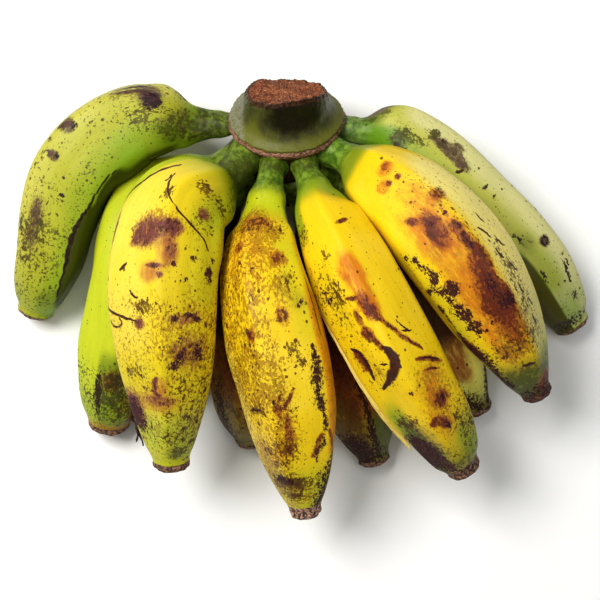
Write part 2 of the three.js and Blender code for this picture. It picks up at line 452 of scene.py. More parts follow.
    def weather(self):
        """Gives the skin its unevenness: broad lumps, creased neck, flared root and rough end."""
        share = self.share[:, None]
        neck = (1 - soft_step(self.mean_radius, 5.2 * MM, 9 * MM)) * (share < 0.5)
        slow = self.flat * [0.25, 1, 1] * MM
        self.radius += 0.35 * MM * wavy(self.places, 26 * MM) * (1 - 0.6 * neck)
        self.radius += 0.10 * MM * wavy(slow, 6 * MM)
        self.radius += 0.22 * MM * neck * wavy(slow, 3.2 * MM)
        self.radius += 0.9 * MM * np.exp(-(np.maximum(self.along, 0) / (4.0 * MM)) ** 2)[:, None]
        dried = soft_step(share, 0.965, 0.99)
        self.radius += 0.40 * MM * dried * wavy(self.flat * MM, 3.2 * MM)
        self.lay_out()
        in_end = self.shrink[:, None] < 1
        cup = (1 - self.shrink[:, None]) * in_end
        rough = wavy(self.flat * MM, 2.2 * MM) * 0.4 - 0.8 * soft_step(cup, 0.25, 0.9)
        self.places += (rough * in_end * MM)[..., None] * self.heading[:, None]

    def skin(self, slot, material):
        """Weathers the skin and makes its mesh, which carries the marks."""
        self.weather()
        places = with_ends(self.places)
        places[:, 2] = np.maximum(places[:, 2], cad_low.z)      # it lies flat where it touches the floor
        faces, corners = closed(*self.radius.shape)
        carries = {name: with_ends(1 - (1 - self.fields[name]) * (1 - self.strokes[name]))
                   for name in FIELDS}
        carries["peel_place"] = with_ends(self.flat)
        made = make_mesh(self.node + "_skin", places, faces, material, carries, corners)
        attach(made, "root")
        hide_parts(self.node)


def sums(how, *values):
    """One step of arithmetic on values."""
    return add_node("ShaderNodeMath", dict(enumerate(values)), operation=how)[0]


def times(first, second):
    return sums("MULTIPLY", first, second)


def larger(first, second):
    return sums("MAXIMUM", first, second)


def scaled(value, factor, added):
    """A value times a factor, with something added."""
    return sums("MULTIPLY_ADD", value, factor, added)


def rise(value, low, high):
    """Turns a value into 0 below `low`, 1 above `high` and a soft step between them."""
    return add_node("ShaderNodeMapRange", {0: value, 1: low, 2: high}, interpolation_type="SMOOTHSTEP")[0]


def stretch(place, x=1.0, z=1.0):
    """Scales a place along its first and its last axis."""
    return add_node("ShaderNodeVectorMath", {0: place, 1: (x, 1.0, z)}, operation="MULTIPLY")[0]


def carried(label, output="Fac"):
    """What each place on the mesh carries under this label."""
    return add_node("ShaderNodeAttribute", {}, attribute_name=label)[output]


def bump(height, strength, depth):
    """Relief from a height, its depth in millimetres."""
    return add_node("ShaderNodeBump", {"Height": height, "Strength": strength, "Distance": depth * MM})[0]


def new_effect(name, answer, **takes):
    """A shader node group that takes a place and then numbers, or colours where there is None.
    The shading steps that follow are added to it."""
    global tree
    tree = bpy.data.node_groups.new(name, "ShaderNodeTree")
    tree.interface.new_socket(name="Place", in_out="INPUT", socket_type="NodeSocketVector")
    for label, value in takes.items():
        kind = "NodeSocketColor" if value is None else "NodeSocketFloat"
        socket = tree.interface.new_socket(name=label, in_out="INPUT", socket_type=kind)
        if value is not None:
            socket.default_value = value
    kind = "NodeSocketColor" if answer == "Colour" else "NodeSocketFloat"
    tree.interface.new_socket(name=answer, in_out="OUTPUT", socket_type=kind)
    asked = tree.nodes.new("NodeGroupInput").outputs[:len(takes) + 1]
    return tree, tree.nodes.new("NodeGroupOutput"), *asked


def effect(group, *values):
    """Uses a node group, its inputs given in their order."""
    return add_node("ShaderNodeGroup", dict(enumerate(values)), node_tree=group)[0]


# Ripening: ripe and paler peel in cloudy patches, green where it isn't ripe yet.
ripening, gives, place, ripe, pale, green, paleness, greenness = new_effect(
    "ripening", "Colour", Ripe=None, Pale=None, Green=None, Paleness=0.0, Greenness=0.0)
clouds = noise(place, 0.07)
fibres = noise(stretch(place, 0.1), 0.7, 4.0)
paler = rise(sums("ADD", paleness, scaled(clouds, 0.7, -0.22)), 0.1, 0.9)
unripe = sums("ADD", greenness, scaled(clouds, 0.5, -0.25))
unripe = sums("ADD", unripe, scaled(fibres, 0.3, -0.15))
peel = blend(rise(unripe, 0.05, 0.95), blend(paler, ripe, pale), green)
fill(gives, {"Colour": blend(1.0, peel, scaled(fibres, 0.24, 0.88), "MULTIPLY")})

# Ragged patch: a field's edge is broken up by noise, as a stain's edge is.
ragged, gives, place, field, grain, raggedness, softness = new_effect(
    "ragged patch", "Mask", Field=0.0, Grain=0.3, Raggedness=0.8, Softness=0.1)
frayed = noise(stretch(place, 0.75), grain, 6.0, 0.72)
frayed = sums("ADD", field, times(sums("SUBTRACT", frayed, 0.5), raggedness))
fill(gives, {"Mask": rise(frayed, sums("SUBTRACT", 0.5, softness), sums("ADD", 0.5, softness))})

# Pepper: irregular specks that grow together as the coverage rises, as sugar spots do.
pepper, gives, place, coverage, grain, softness = new_effect(
    "pepper", "Mask", Coverage=0.2, Grain=1.0, Softness=0.03)
grit = add_node("ShaderNodeTexNoise", {"Vector": stretch(place, 0.8), "Scale": grain, "Detail": 3.0,
                                       "Roughness": 0.62, "Distortion": 0.35})["Fac"]
gathered = scaled(sums("SUBTRACT", noise(place, 0.16), 0.5), 1.3, 1.0)
level = scaled(times(coverage, gathered), -0.40, 0.78)
specks = rise(grit, sums("SUBTRACT", level, softness), sums("ADD", level, softness))
fill(gives, {"Mask": times(specks, rise(coverage, 0.0, 0.06))})

# Dots: small round pores, one to a cell, in the share of the cells that is asked for.
dots, gives, place, share, cells, size = new_effect("dots", "Mask", Share=0.3, Cells=0.4, Size=0.2)
found = add_node("ShaderNodeTexVoronoi", {"Vector": place, "Scale": cells})
drawn = add_node("ShaderNodeSeparateColor", {"Color": found["Color"]})
size = times(size, scaled(drawn["Green"], 0.8, 0.5))
wobble = scaled(noise(place, 1.6, 2.0), 0.16, -0.08)
inside = rise(sums("SUBTRACT", size, sums("ADD", found["Distance"], wobble)), 0.0, 0.05)
fill(gives, {"Mask": times(inside, sums("LESS_THAN", drawn["Red"], share))})

# Peel relief: lengthwise fibres and fine pores, as a height in shares of a millimetre.
relief, gives, place, fibres, pores = new_effect("peel relief", "Height", Fibres=0.4, Pores=0.3)
height = times(noise(stretch(place, 0.07), 1.3, 4.0), fibres)
fill(gives, {"Height": scaled(noise(place, 1.9), pores, height)})


def peel_material(name, ripe, pale, green, stem="#64761f", rust="#c46a1c", mottle="#8c5a14",
                  bruise="#6c3a30", dark="#2a120e", speck="#4a2c12", grime="#47491c",
                  olive="#3c3f0d", scratch="#3a1a0e", scar_tint="#a07a60"):
    """Waxy peel: its ripening, then scald, mottling, soiling partly painted as shade, painted olive shade,
    bruises, specks and scratches over it.
    """
    material, shader = new_material(name)
    where = carried("peel_place", "Vector")
    streaks = noise(stretch(where, 0.3), 0.5, 5.0, 0.7)
    cloudy = noise(where, 0.34, 4.0, 0.65)
    colour = effect(ripening, where, ripe, pale, green, carried("pale"), carried("green"))
    stalky = blend(rise(cloudy, 0.36, 0.64), blend(0.45, stem, "#26330e"), blend(0.35, stem, "#a9c24a"))
    colour = blend(effect(ragged, where, carried("stem"), 0.25, 0.7, 0.4), colour, stalky)

    rusty = times(effect(ragged, where, carried("rust"), 0.24, 1.2, 0.42), rise(streaks, 0.18, 0.56))
    scald = blend(rise(cloudy, 0.4, 0.7), rust, blend(0.4, rust, bruise))
    colour = blend(times(rusty, 0.88), colour, scald)
    meshed = effect(pepper, where, carried("mottle"), 1.0, 0.075)
    colour = blend(times(meshed, 0.72), colour, mottle)
    # Partly real soiling, partly painted shade: a dark olive laid where a finger's side sits in shade.
    grime_and_shade_field = carried("grime")
    grime_and_shade_mask = larger(times(effect(ragged, where, grime_and_shade_field, 0.3, 0.9, 0.5), 0.5),
                   times(effect(pepper, where, grime_and_shade_field, 0.6, 0.06), 0.78))
    colour = blend(grime_and_shade_mask, colour, grime)
    # Painted shade: the olive field lays a dark olive over facets and peel that sit in shade.
    shaded = effect(ragged, where, carried("olive"), 0.2, 0.5, 0.4)
    colour = blend(times(shaded, 0.9), colour, olive)

    bruised = carried("bruise")
    uneven = noise(stretch(where, 0.6), 0.9, 4.0, 0.7)
    halo = rise(sums("ADD", bruised, scaled(uneven, 1.6, -0.8)), 0.15, 0.6)
    colour = blend(times(halo, 0.5), colour, blend(0.35, rust, bruise))
    stain = times(effect(ragged, where, bruised, 0.55, 2.2, 0.24), scaled(uneven, 0.9, 0.22))
    colour = blend(stain, colour, blend(rise(cloudy, 0.42, 0.66), bruise, blend(0.5, bruise, rust)))
    crowded = effect(pepper, where, times(bruised, 1.02), 0.82, 0.06)
    core = blend(times(rise(streaks, 0.44, 0.68), 0.8), bruise, dark)
    colour = blend(times(crowded, 0.86), colour, core)

    freckled = larger(carried("freckle"), times(rise(bruised, 0.02, 0.6), 0.45))
    fine = effect(pepper, where, freckled, 1.05, 0.035)
    large = effect(pepper, where, times(freckled, 0.74), 0.44, 0.02)
    sparse = effect(dots, where, scaled(freckled, 1.1, 0.02), 0.42, 0.22)
    tiny = effect(dots, where, freckled, 0.95, 0.26)
    spotted = larger(larger(times(fine, 0.80), times(large, 0.92)),
                     larger(times(sparse, 0.85), times(tiny, 0.7)))
    colour = blend(spotted, colour, speck)

    blackened = carried("black")
    clotted = effect(dots, where, times(blackened, 1.3), 0.62, 0.40)
    black = larger(effect(ragged, where, times(blackened, 0.86), 1.3, 3.0, 0.12),
                   times(clotted, rise(blackened, 0.2, 0.5)))
    burnt = rise(noise(stretch(where, 0.5), 1.1, 4.0, 0.7), 0.45, 0.68)
    colour = blend(times(black, 0.985), colour, blend(times(burnt, 0.6), dark, bruise))
    scratched = effect(ragged, where, carried("scratch"), 1.0, 0.5, 0.12)
    colour = blend(times(scratched, 0.98), colour, blend(times(burnt, 0.5), scratch, bruise))
    scar = effect(ragged, where, carried("scar"), 0.7, 0.9, 0.2)
    colour = blend(scar, colour, blend(rise(noise(where, 0.9, 4.0), 0.36, 0.68), "#33201a", scar_tint))

    marked = larger(larger(black, scar), times(spotted, 0.5))
    marked = larger(marked, times(larger(rusty, stain), 0.6))
    satin = scaled(noise(where, 0.25, 4.0), 0.16, 0.38)
    height = effect(relief, where, 0.30, 0.16)
    for mask, depth in ((black, -0.12), (spotted, -0.05), (scratched, -0.15)):
        height = scaled(mask, depth, height)
    height = scaled(times(noise(where, 1.6, 5.0, 0.7), scar), 0.9, height)
    fill(shader, {"Base Color": colour, "Roughness": scaled(marked, 0.22, satin), "Specular IOR Level": 0.30,
                  "Normal": bump(height, 0.55, 0.35)})
    return material


def grow_ends(finger, stem_to=0.15, green_tip=0.86, tip_green=0.7, scar_from=0.974):
    """What all the fingers share: green pedicel, greenish end, and the brown scar of the flower."""
    finger.washes(
        stem=[(-0.1, stem_to, -180, 180, 1.0, 0.09)],
        green=[(-0.1, stem_to + 0.04, -180, 180, 1.0, 0.10), (green_tip, 1.1, -180, 180, tip_green, 0.16)],
        scar=[(scar_from, 1.1, -180, 180, 1.0, 0.014)])


# ---- Outer finger 1, far left ------------------------------------------------------------
# The most bent finger and still mostly green. Dark brown rub marks sit on its shoulder, and one sharp ridge
# parts the lit side, painted a little paler as painted light, from the facet inside the bend, painted dark
# olive as painted shade.

finger = Finger("outer_finger_1", ridges=4, edge=0.07)
finger.swell(0.0, -36, 18, 13, -4.0)
finger.swell(0.19, -75, 20, 14, 1.6)
finger.swell(0.86, 62, 26, 9, 0.8)
finger.swell(0.40, 98, 48, 26, 1.6)
finger.swell(0.25, 96, 30, 22, 2.4)
grow_ends(finger, 0.13, 0.80, 0.3, scar_from=0.984)
# Painted light and shade: the olive bands darken the facet inside the bend, and the pale band lightens the
# lit upper left side.
finger.washes(
    green=[(0.16, 0.97, 12, 110, 0.62, 0.06, 50), (0.3, 1.0, 46, 160, 0.8, 0.06, 24)],
    olive=[(0.17, 0.9, 64, 175, 1.0, 0.06, 18), (0.42, 0.93, 52, 130, 1.0, 0.06, 7),
           (0.6, 0.91, 44, 130, 1.0, 0.05, 5), (0.64, 0.88, 39, 130, 1.0, 0.04, 5),
           (0.69, 0.8, 35, 130, 1.0, 0.04, 5)],
    pale=[(0.2, 0.9, -95, -20, 0.4, 0.06, 40)],
    mottle=[(0.2, 0.62, -110, -40, 0.34, 0.1)],
    freckle=[(0.12, 0.98, -130, 46, 0.36), (0.66, 0.98, -130, 40, 0.2, 0.2)])
finger.marks(
    black=[(0.258, -13, 7.5, 6), (0.285, -46, 9, 3, 1.0, 15), (0.462, -41, 4, 3, 0.8),
           (0.438, -26, 3, 2.4, 0.8), (0.5, -38, 1.8, 1.8), (0.522, -17, 1.6, 1.4), (0.602, 8, 2.0, 2.2),
           (0.555, 4, 1.2, 1.2), (0.185, -62, 5, 3, 0.7)],
    bruise=[(0.262, -26, 9, 10, 0.8), (0.305, -43, 8, 2.4, 0.7), (0.448, -34, 5.5, 6),
            (0.525, -22, 3.6, 4.4), (0.672, -22, 15, 5.5, 0.64), (0.742, -24, 8, 6, 0.5)],
    freckle=[(0.275, 12, 16, 10, 0.5), (0.742, -26, 18, 13, 0.42)],
    mottle=[(0.3, -34, 22, 12, 0.7), (0.69, -22, 24, 11, 0.6), (0.15, 14, 20, 14, 0.7)],
    # The first two of these marks, on the right of the shoulder, are painted shade.
    grime=[(0.195, 24, 13, 10, 0.85, 25), (0.12, 30, 22, 12, 0.6), (0.085, 0, 14, 10, 0.62),
           (0.9, 30, 9, 9, 0.55)])
finger.line([(0.262, -20), (0.275, -28), (0.295, -30), (0.315, -32), (0.33, -36)], 1.6, "bruise")
finger.line([(0.43, -52), (0.44, -49), (0.45, -50)], 0.9)
ridge_line = [(0.44, 52), (0.48, 50), (0.56, 48), (0.615, 44), (0.65, 40), (0.69, 36), (0.72, 34),
              (0.755, 34), (0.785, 36), (0.815, 38), (0.845, 40), (0.88, 43)]
finger.line(ridge_line, 1.0, ends=0.4)
finger.line(ridge_line[3:10], 1.7, ends=0.3, ramp=1.0)
finger.skin("peel_green", peel_material(
    "peel, far left", "#b3b236", "#cbc35c", "#84a01e", stem="#6b7830", rust="#6d5a2c", mottle="#77692a",
    speck="#4d4220", bruise="#5b3c38", dark="#2f1a22", grime="#2e320e", olive="#33370a",
    scratch="#201411"))

# ---- Outer finger 2, the broad yellow one ------------------------------------------------
# The broadest finger, ripe yellow with a purplish rub mark high up, orange scald below it, and many dark
# specks and mottled patches towards its green-yellow end. A thin dark line follows its left edge, partly a
# stained ridge and partly painted shadow of the gap beside it. Its end is painted paler as painted light,
# and its right edge darker as painted shade.

finger = Finger("outer_finger_2", ridges=5)
finger.swell(0.27, 86, 26, 16, 1.8)
grow_ends(finger, 0.15, 0.82, 0.62)
# Painted light and shade: the first pale band lightens the end, which slopes away from the lamps, and the
# band down the right edge darkens it.
finger.washes(
    green=[(0.66, 0.95, -180, 180, 0.3, 0.2), (0.14, 0.34, -130, -60, 0.85, 0.1, 10),
           (0.14, 0.27, -120, 120, 0.42, 0.12), (0.22, 0.62, 24, 90, 0.42, 0.2, 30),
           (0.14, 0.36, 36, 120, 0.4, 0.1, 30)],
    pale=[(0.8, 0.95, -60, 60, 0.6, 0.1), (0.28, 0.66, -80, -12, 0.5, 0.2, 50)],
    grime=[(0.2, 0.62, 72, 110, 0.35, 0.1, 20)],
    mottle=[(0.22, 0.5, 26, 90, 0.34, 0.1), (0.22, 0.5, -60, 26, 0.17, 0.1),
            (0.5, 0.97, -95, 92, 0.5, 0.12), (0.56, 0.72, 2, 92, 0.42, 0.1)],
    freckle=[(0.51, 0.97, -95, 92, 0.26, 0.12), (0.58, 0.95, 0, 92, 0.3, 0.12),
             (0.74, 0.95, -95, 92, 0.24, 0.1), (0.18, 0.55, 20, 85, 0.2)])
finger.marks(
    bruise=[(0.403, -15, 11, 12), (0.418, -30, 4, 8, 0.7, 35), (0.392, 11, 6, 7, 0.95),
            (0.44, 12, 10, 5, 0.62), (0.472, -5, 2, 6, 0.8), (0.489, 3, 2.5, 2.5, 0.8),
            (0.587, -24, 4, 4, 1.0, 60), (0.39, -73, 12, 2.5), (0.335, 43, 4.5, 5, 0.85),
            (0.58, 30, 5, 16, 0.5), (0.655, 33, 12, 14, 0.55), (0.77, -8, 5, 12, 0.6),
            (0.8, -60, 13, 9, 0.8)],
    black=[(0.394, 6, 2, 3, 0.7), (0.465, 16, 2.2, 2, 0.8), (0.447, 38, 2.2, 2.2), (0.494, 32, 1.7, 1.7),
           (0.5, 25, 1.1, 1.4), (0.445, 64, 2, 2, 0.9), (0.475, 58, 5, 3.4), (0.5, 60, 3, 2, 0.8),
           (0.576, 17, 3.2, 3.4, 0.85), (0.573, 34, 2, 5.5, 0.85, -12), (0.585, 46, 2.4, 3.5, 0.85, -30),
           (0.6, 56, 2.4, 2.2, 0.8), (0.665, 22, 8, 3.4, 0.74, -24), (0.66, 47, 7, 4.5, 0.74, 14),
           (0.685, 14, 3.4, 4, 0.8), (0.625, 22, 3.6, 2.4, 0.8, -20), (0.822, -66, 13, 8),
           (0.84, -56, 10, 5, 0.8), (0.77, -82, 10, 3, 0.8)],
    mottle=[(0.38, -4, 10, 20, 0.7)],
    rust=[(0.435, 10, 13, 7), (0.485, -8, 7, 8), (0.73, -5, 8, 6, 0.8), (0.775, -12, 9, 16, 0.62)],
    freckle=[(0.325, -9, 7, 5, 0.7), (0.28, 18, 6, 9, 0.75), (0.26, 46, 5, 9, 0.7),
             (0.345, 46, 12, 10, 0.5), (0.55, -14, 7, 12, 0.6), (0.7, -38, 6, 9, 0.7)],
    grime=[(0.1, 40, 16, 16), (0.17, 50, 14, 12, 0.9), (0.21, 74, 12, 12, 0.5), (0.93, 20, 6, 7, 0.9)])
# Partly painted shadow: the contour line darkens the left edge where it meets the lime finger behind.
contour = [(0.26, -44), (0.28, -52), (0.3, -60), (0.325, -70), (0.35, -77), (0.4, -80), (0.46, -82),
           (0.53, -83)]
finger.line(contour, 1.2, ends=0.7)
finger.line([(0.53, -83), (0.55, -78), (0.562, -66), (0.572, -52), (0.577, -40), (0.58, -30)], 1.0)
finger.line([(0.58, -70), (0.592, -68), (0.598, -60), (0.587, -52), (0.578, -54)], 0.75)
finger.line([(0.285, -26), (0.3, -20), (0.315, -14), (0.335, -3), (0.355, 12), (0.372, 28), (0.386, 40),
             (0.4, 49), (0.425, 56)], 0.8, ends=0.6)
finger.line([(0.29, -30), (0.297, -24), (0.304, -27)], 0.8)
finger.line([(0.519, -35), (0.529, -31), (0.532, -24)], 0.75)
finger.line([(0.482, -52), (0.476, -48), (0.469, -43)], 1.3)
finger.line([(0.708, -6), (0.72, -11), (0.738, -12), (0.752, -7)], 1.9, "bruise")
finger.skin("peel_yellow", peel_material(
    "peel, broad yellow", "#e4ca22", "#ecd656", "#b4c020", stem="#5f7420", rust="#c07a34",
    mottle="#9a6a1c", bruise="#743c3c", dark="#3c1a20", speck="#4c2810"))

# ---- Outer finger 3, the speckled one ----------------------------------------------------
# The middle finger: dense fine freckles on its left, a greener band on its right, and an
# orange side facet that a dark stained ridge parts from the rest.

finger = Finger("outer_finger_3", ridges=5, edge=0.055)
finger.swell(0.185, -82, 12, 22, -1.5)
finger.swell(0.185, 82, 12, 22, -1.6)
grow_ends(finger, 0.13, 0.82, 0.62, scar_from=0.958)
finger.washes(
    green=[(0.12, 0.205, -180, 180, 0.7, 0.09), (0.12, 0.28, -180, 180, 0.3, 0.14),
           (0.26, 0.54, 18, 52, 0.48, 0.12, 24)],
    pale=[(0.5, 0.8, -110, -74, 0.9, 0.06, 10), (0.5, 0.68, -30, 40, 0.3)],
    mottle=[(0.19, 0.64, -120, 0, 0.74, 0.08, 26), (0.2, 0.36, -10, 20, 0.6, 0.08, 20),
            (0.6, 0.97, -120, -8, 0.68, 0.1, 30), (0.4, 0.97, -20, 60, 0.18, 0.1)],
    freckle=[(0.18, 0.7, -120, -10, 0.34, 0.1, 30), (0.22, 0.95, -120, 60, 0.18)],
    rust=[(0.22, 0.4, -62, 2, 0.44, 0.1, 30), (0.42, 0.8, 44, 110, 1.0, 0.06, 7)])
finger.marks(
    mottle=[(0.82, -56, 20, 9, 0.8), (0.235, -14, 12, 18, 0.8), (0.27, 12, 8, 12, 0.8),
            (0.345, 10, 10, 8, 0.85), (0.41, 16, 16, 11, 0.7), (0.55, 4, 4, 4, 0.8),
            (0.72, -8, 20, 9, 0.6), (0.9, 0, 12, 14, 0.6)],
    bruise=[(0.235, -8, 5, 12, 0.6), (0.31, -34, 5, 5, 0.66), (0.355, 22, 7, 6, 0.74),
            (0.46, 11, 7, 5, 0.7), (0.485, -30, 5, 4, 0.8), (0.66, -17, 6, 3, 0.6),
            (0.685, -11, 10, 5, 0.36), (0.73, -8, 12, 3.2, 0.68, -4), (0.775, -14, 6, 5, 0.45),
            (0.79, -30, 7, 7, 0.34)],
    freckle=[(0.25, 2, 6, 18, 0.5), (0.405, 30, 8, 7, 0.6), (0.525, 14, 5, 6, 0.85),
             (0.56, 20, 6, 5, 0.85), (0.685, -10, 12, 8, 0.5), (0.77, -12, 12, 8, 0.4),
             (0.668, -48, 3, 10, 0.7), (0.785, -32, 13, 15, 0.62), (0.87, -22, 8, 19, 0.85),
             (0.915, -20, 4, 12, 0.8)],
    black=[(0.375, -14, 1.6, 1.8, 0.8), (0.452, 33, 1.6, 1.6, 0.9), (0.443, 39, 1.4, 1.8, 0.9),
           (0.478, -34, 3.4, 1.9, 0.85, 14), (0.642, -21, 2.4, 1.6, 0.9), (0.862, -32, 4.2, 10, 0.85)],
    grime=[(0.412, 20, 13, 10, 0.4), (0.445, 35, 7, 7, 0.5), (0.05, 10, 8, 14, 0.7)])
finger.line([(0.615, 4), (0.63, 1), (0.65, -6), (0.665, -11)], 1.3, "bruise")
finger.line([(0.625, -12), (0.64, -15)], 1.0, "bruise")
finger.line([(0.672, -66), (0.668, -55), (0.664, -42)], 1.0)
finger.line([(0.745, 36), (0.765, 30), (0.785, 26), (0.8, 21)], 2.2, "bruise")
finger.line([(0.75, 38), (0.775, 37), (0.79, 29), (0.815, 26)], 2.0, "black", 0.85)
finger.line([(0.82, 60), (0.85, 54), (0.88, 52), (0.92, 50), (0.95, 48)], 6.5, "black", ends=0.7)
finger.line([(0.53, 38), (0.56, 38), (0.6, 35), (0.64, 34), (0.67, 35), (0.7, 39), (0.74, 41)], 2.6,
             "black", ends=0.3)
finger.line([(0.55, 38), (0.58, 37), (0.61, 35), (0.65, 34)], 3.4, "black", ends=0.3, ramp=0.8)
finger.line([(0.74, 44), (0.78, 52), (0.82, 56)], 1.4, "bruise")
finger.line([(0.4, 52), (0.46, 53), (0.52, 53)], 0.8)
# The flower scar's tint is painted lighter than its own colour, as painted light on the end that faces away
# from the lamps.
finger.skin("peel_yellow", peel_material(
    "peel, speckled", "#efcc1c", "#f4da44", "#bcc220", stem="#5f7c1e", rust="#ea9c20", mottle="#946014",
    bruise="#6e301a", dark="#30131a", speck="#522c0e", scar_tint="#dcae94"))

# ---- Outer finger 4, the clean yellow one ------------------------------------------------
# Smooth bright yellow above, with an orange scald, long scratches and a dark crescent lower
# down, and an olive end. A strip of peel has come loose along its left side.

finger = Finger("outer_finger_4", ridges=5, edge=0.05)
finger.marks(mottle=[(0.63, -40, 13, 10, 0.5)], green=[(0.16, 60, 10, 16, 0.7)])   # moved by its swells
finger.swell(0.69, -88, 66, 28, -2.4)
finger.swell(0.165, 72, 12, 18, -1.7)
grow_ends(finger, 0.112, 0.86, 0.5, scar_from=0.955)
finger.washes(
    green=[(0.12, 0.27, -110, -52, 0.7, 0.08), (0.8, 0.95, 12, 90, 0.6, 0.12, 40),
           (0.7, 0.95, -75, -38, 0.75, 0.1, 20), (0.34, 0.52, -82, -34, 0.35, 0.1)],
    pale=[(0.3, 0.6, 10, 80, 0.25)],
    mottle=[(0.33, 0.6, -80, -22, 0.38, 0.08), (0.62, 0.92, -25, 70, 0.3, 0.1),
            (0.42, 0.64, 16, 84, 0.2, 0.1)],
    freckle=[(0.32, 0.66, -80, -20, 0.24), (0.26, 0.7, -10, 84, 0.13, 0.1),
             (0.76, 0.97, -80, 90, 0.36, 0.1), (0.5, 0.66, -70, -30, 0.2)],
    rust=[(0.68, 0.84, -14, 32, 0.48, 0.08, 20)])
finger.marks(
    freckle=[(0.245, -62, 14, 7, 0.6), (0.33, -30, 5, 4, 0.6), (0.41, -54, 24, 11, 0.42),
             (0.44, -36, 14, 9, 0.4), (0.76, -46, 12, 9, 0.7), (0.82, 45, 24, 12, 0.4)],
    mottle=[(0.25, -68, 9, 4, 0.6), (0.72, 26, 24, 14, 0.6)],
    rust=[(0.385, -7, 12, 7.5), (0.42, -3, 14, 6.5), (0.475, -2, 12, 7, 0.9), (0.69, 26, 16, 12, 0.5)],
    bruise=[(0.468, -7, 8, 4.5, 0.85), (0.495, -3, 6, 5, 0.8), (0.267, 14, 1.7, 5, 1.0, 12),
            (0.49, -23, 7, 2.6, 0.8), (0.53, -20, 4, 4), (0.74, 24, 6, 8, 0.75), (0.775, -4, 3.4, 4, 0.9),
            (0.785, 4, 5, 2.8, 0.9), (0.8, 12, 5, 4, 0.8)],
    black=[(0.43, -53, 3, 3, 0.8), (0.405, -58, 2, 2.4, 0.8), (0.687, -8, 2.4, 1.8, 0.9),
           (0.742, 26, 2.4, 2.6, 0.8), (0.805, 12, 4, 2, 0.8), (0.862, -46, 14, 8),
           (0.835, -64, 12, 6, 0.9), (0.88, -72, 15, 9, 0.95), (0.93, -40, 10, 9, 0.8)],
    grime=[(0.84, -44, 22, 14), (0.93, 0, 8, 16, 0.7), (0.04, 10, 10, 12, 0.7)])
finger.line([(0.445, -26), (0.448, -20), (0.452, -13)], 1.3, "bruise")
finger.line([(0.525, -26), (0.52, -20), (0.535, -19), (0.553, -15), (0.568, -14)], 2.2, "bruise")
finger.line([(0.562, -12), (0.575, -9), (0.59, -7), (0.608, -8), (0.625, -15), (0.64, -27), (0.651, -39),
             (0.66, -50)], 4.0, ends=0.12, ramp=0.8)
finger.line([(0.57, -6), (0.6, -3), (0.622, -5)], 1.2)
finger.line([(0.543, -60), (0.552, -54), (0.562, -50), (0.585, -48), (0.608, -50), (0.63, -54)], 1.5,
             ends=0.5)
finger.line([(0.553, -57), (0.575, -54), (0.6, -56)], 2.8, "bruise")
finger.line([(0.6, -26), (0.603, -18)], 0.8)
finger.line([(0.503, -2), (0.515, 3), (0.53, 7), (0.55, 12), (0.575, 20), (0.6, 29), (0.615, 34)], 1.5,
             "bruise", ends=0.5)
finger.line([(0.51, 2), (0.54, 10), (0.57, 19), (0.6, 29), (0.617, 35)], 0.45)
finger.line([(0.53, 20), (0.55, 25), (0.565, 30)], 0.7)
finger.line([(0.555, 20), (0.562, 27), (0.566, 34)], 0.6)
finger.line([(0.628, 18), (0.633, 26), (0.642, 34), (0.655, 44), (0.672, 54)], 1.5, "bruise")
finger.line([(0.632, 25), (0.642, 36), (0.66, 50)], 0.8)
finger.line([(0.66, 20), (0.668, 32), (0.68, 44)], 0.8, "bruise")
finger.skin("peel_yellow", peel_material(
    "peel, clean yellow", "#ecc918", "#f0d344", "#8a9e1f", stem="#668421", rust="#d2701c",
    mottle="#957018", bruise="#6c2c22", dark="#32141c", speck="#4a2c10", scratch="#34121a"))

# The strip: a thin pale ribbon of torn peel that lies along the left side, its end standing off.
STRIP_ROWS = 90
STRIP_FREE = 7 * MM
STRIP_FREE_ROWS = 23
STRIP_THICK = 0.28 * MM       # half of it, as with its widths below
STRIP_LIFT = 0.35 * MM        # off the finger's skin
STRIP_CURL = 0.8 * MM
STRIP_SIDES = 14
SETTLING = 30                 # rounds of evening out its line on the skin
shares = np.linspace(0.36, 0.80, STRIP_ROWS)
angles = np.interp(shares, [0.36, 0.52, 0.66, 0.80], [-88, -84, -82, -86])
spots = [finger.at(share, angle) for share, angle in zip(shares, angles)]
held = np.array([finger.places[spot] for spot in spots])
out_of = np.array([finger.spoke[spot] for spot in spots])
for _ in range(SETTLING):
    held[1:-1] = (held[:-2] + held[2:]) / 2
free = np.linspace(0, 1, STRIP_FREE_ROWS + 1)[1:, None]
leaving = unit(held[-1] - held[-8])
line = np.vstack([held, held[-1] + free * STRIP_FREE * leaving + free ** 2 * STRIP_CURL * out_of[-1]])
out_of = np.vstack([out_of, np.repeat(out_of[-1:], len(free), 0)])
ahead = unit(np.gradient(line, axis=0))
wide = out_of * 0.8 + np.cross(ahead, out_of) * 0.6
wide = unit(wide - (wide * ahead).sum(1)[:, None] * ahead)
run = np.linspace(0, 1, len(line))
half = np.interp(run, [0, 0.3, 0.55, 0.8, 0.95, 1], [0.3, 0.55, 0.85, 0.95, 0.5, 0.06]) * MM
half += 0.08 * MM * wavy(line, 5 * MM)
turn = np.linspace(0, 2 * math.pi, STRIP_SIDES, endpoint=False)
middle = line + wide * (half * 0.55)[:, None] + STRIP_LIFT * out_of
rows = middle[:, None] + round_about(turn, wide * half[:, None], np.cross(ahead, wide) * STRIP_THICK)
flat = np.stack(np.broadcast_arrays(run[:, None] * 70, np.cos(turn) * 1.2, np.sin(turn) * 0.3), -1)


def tube_faces(index):
    """Faces round a row of rings, and one over each end."""
    return band(index) + [index[-1].tolist(), index[0][::-1].tolist()]


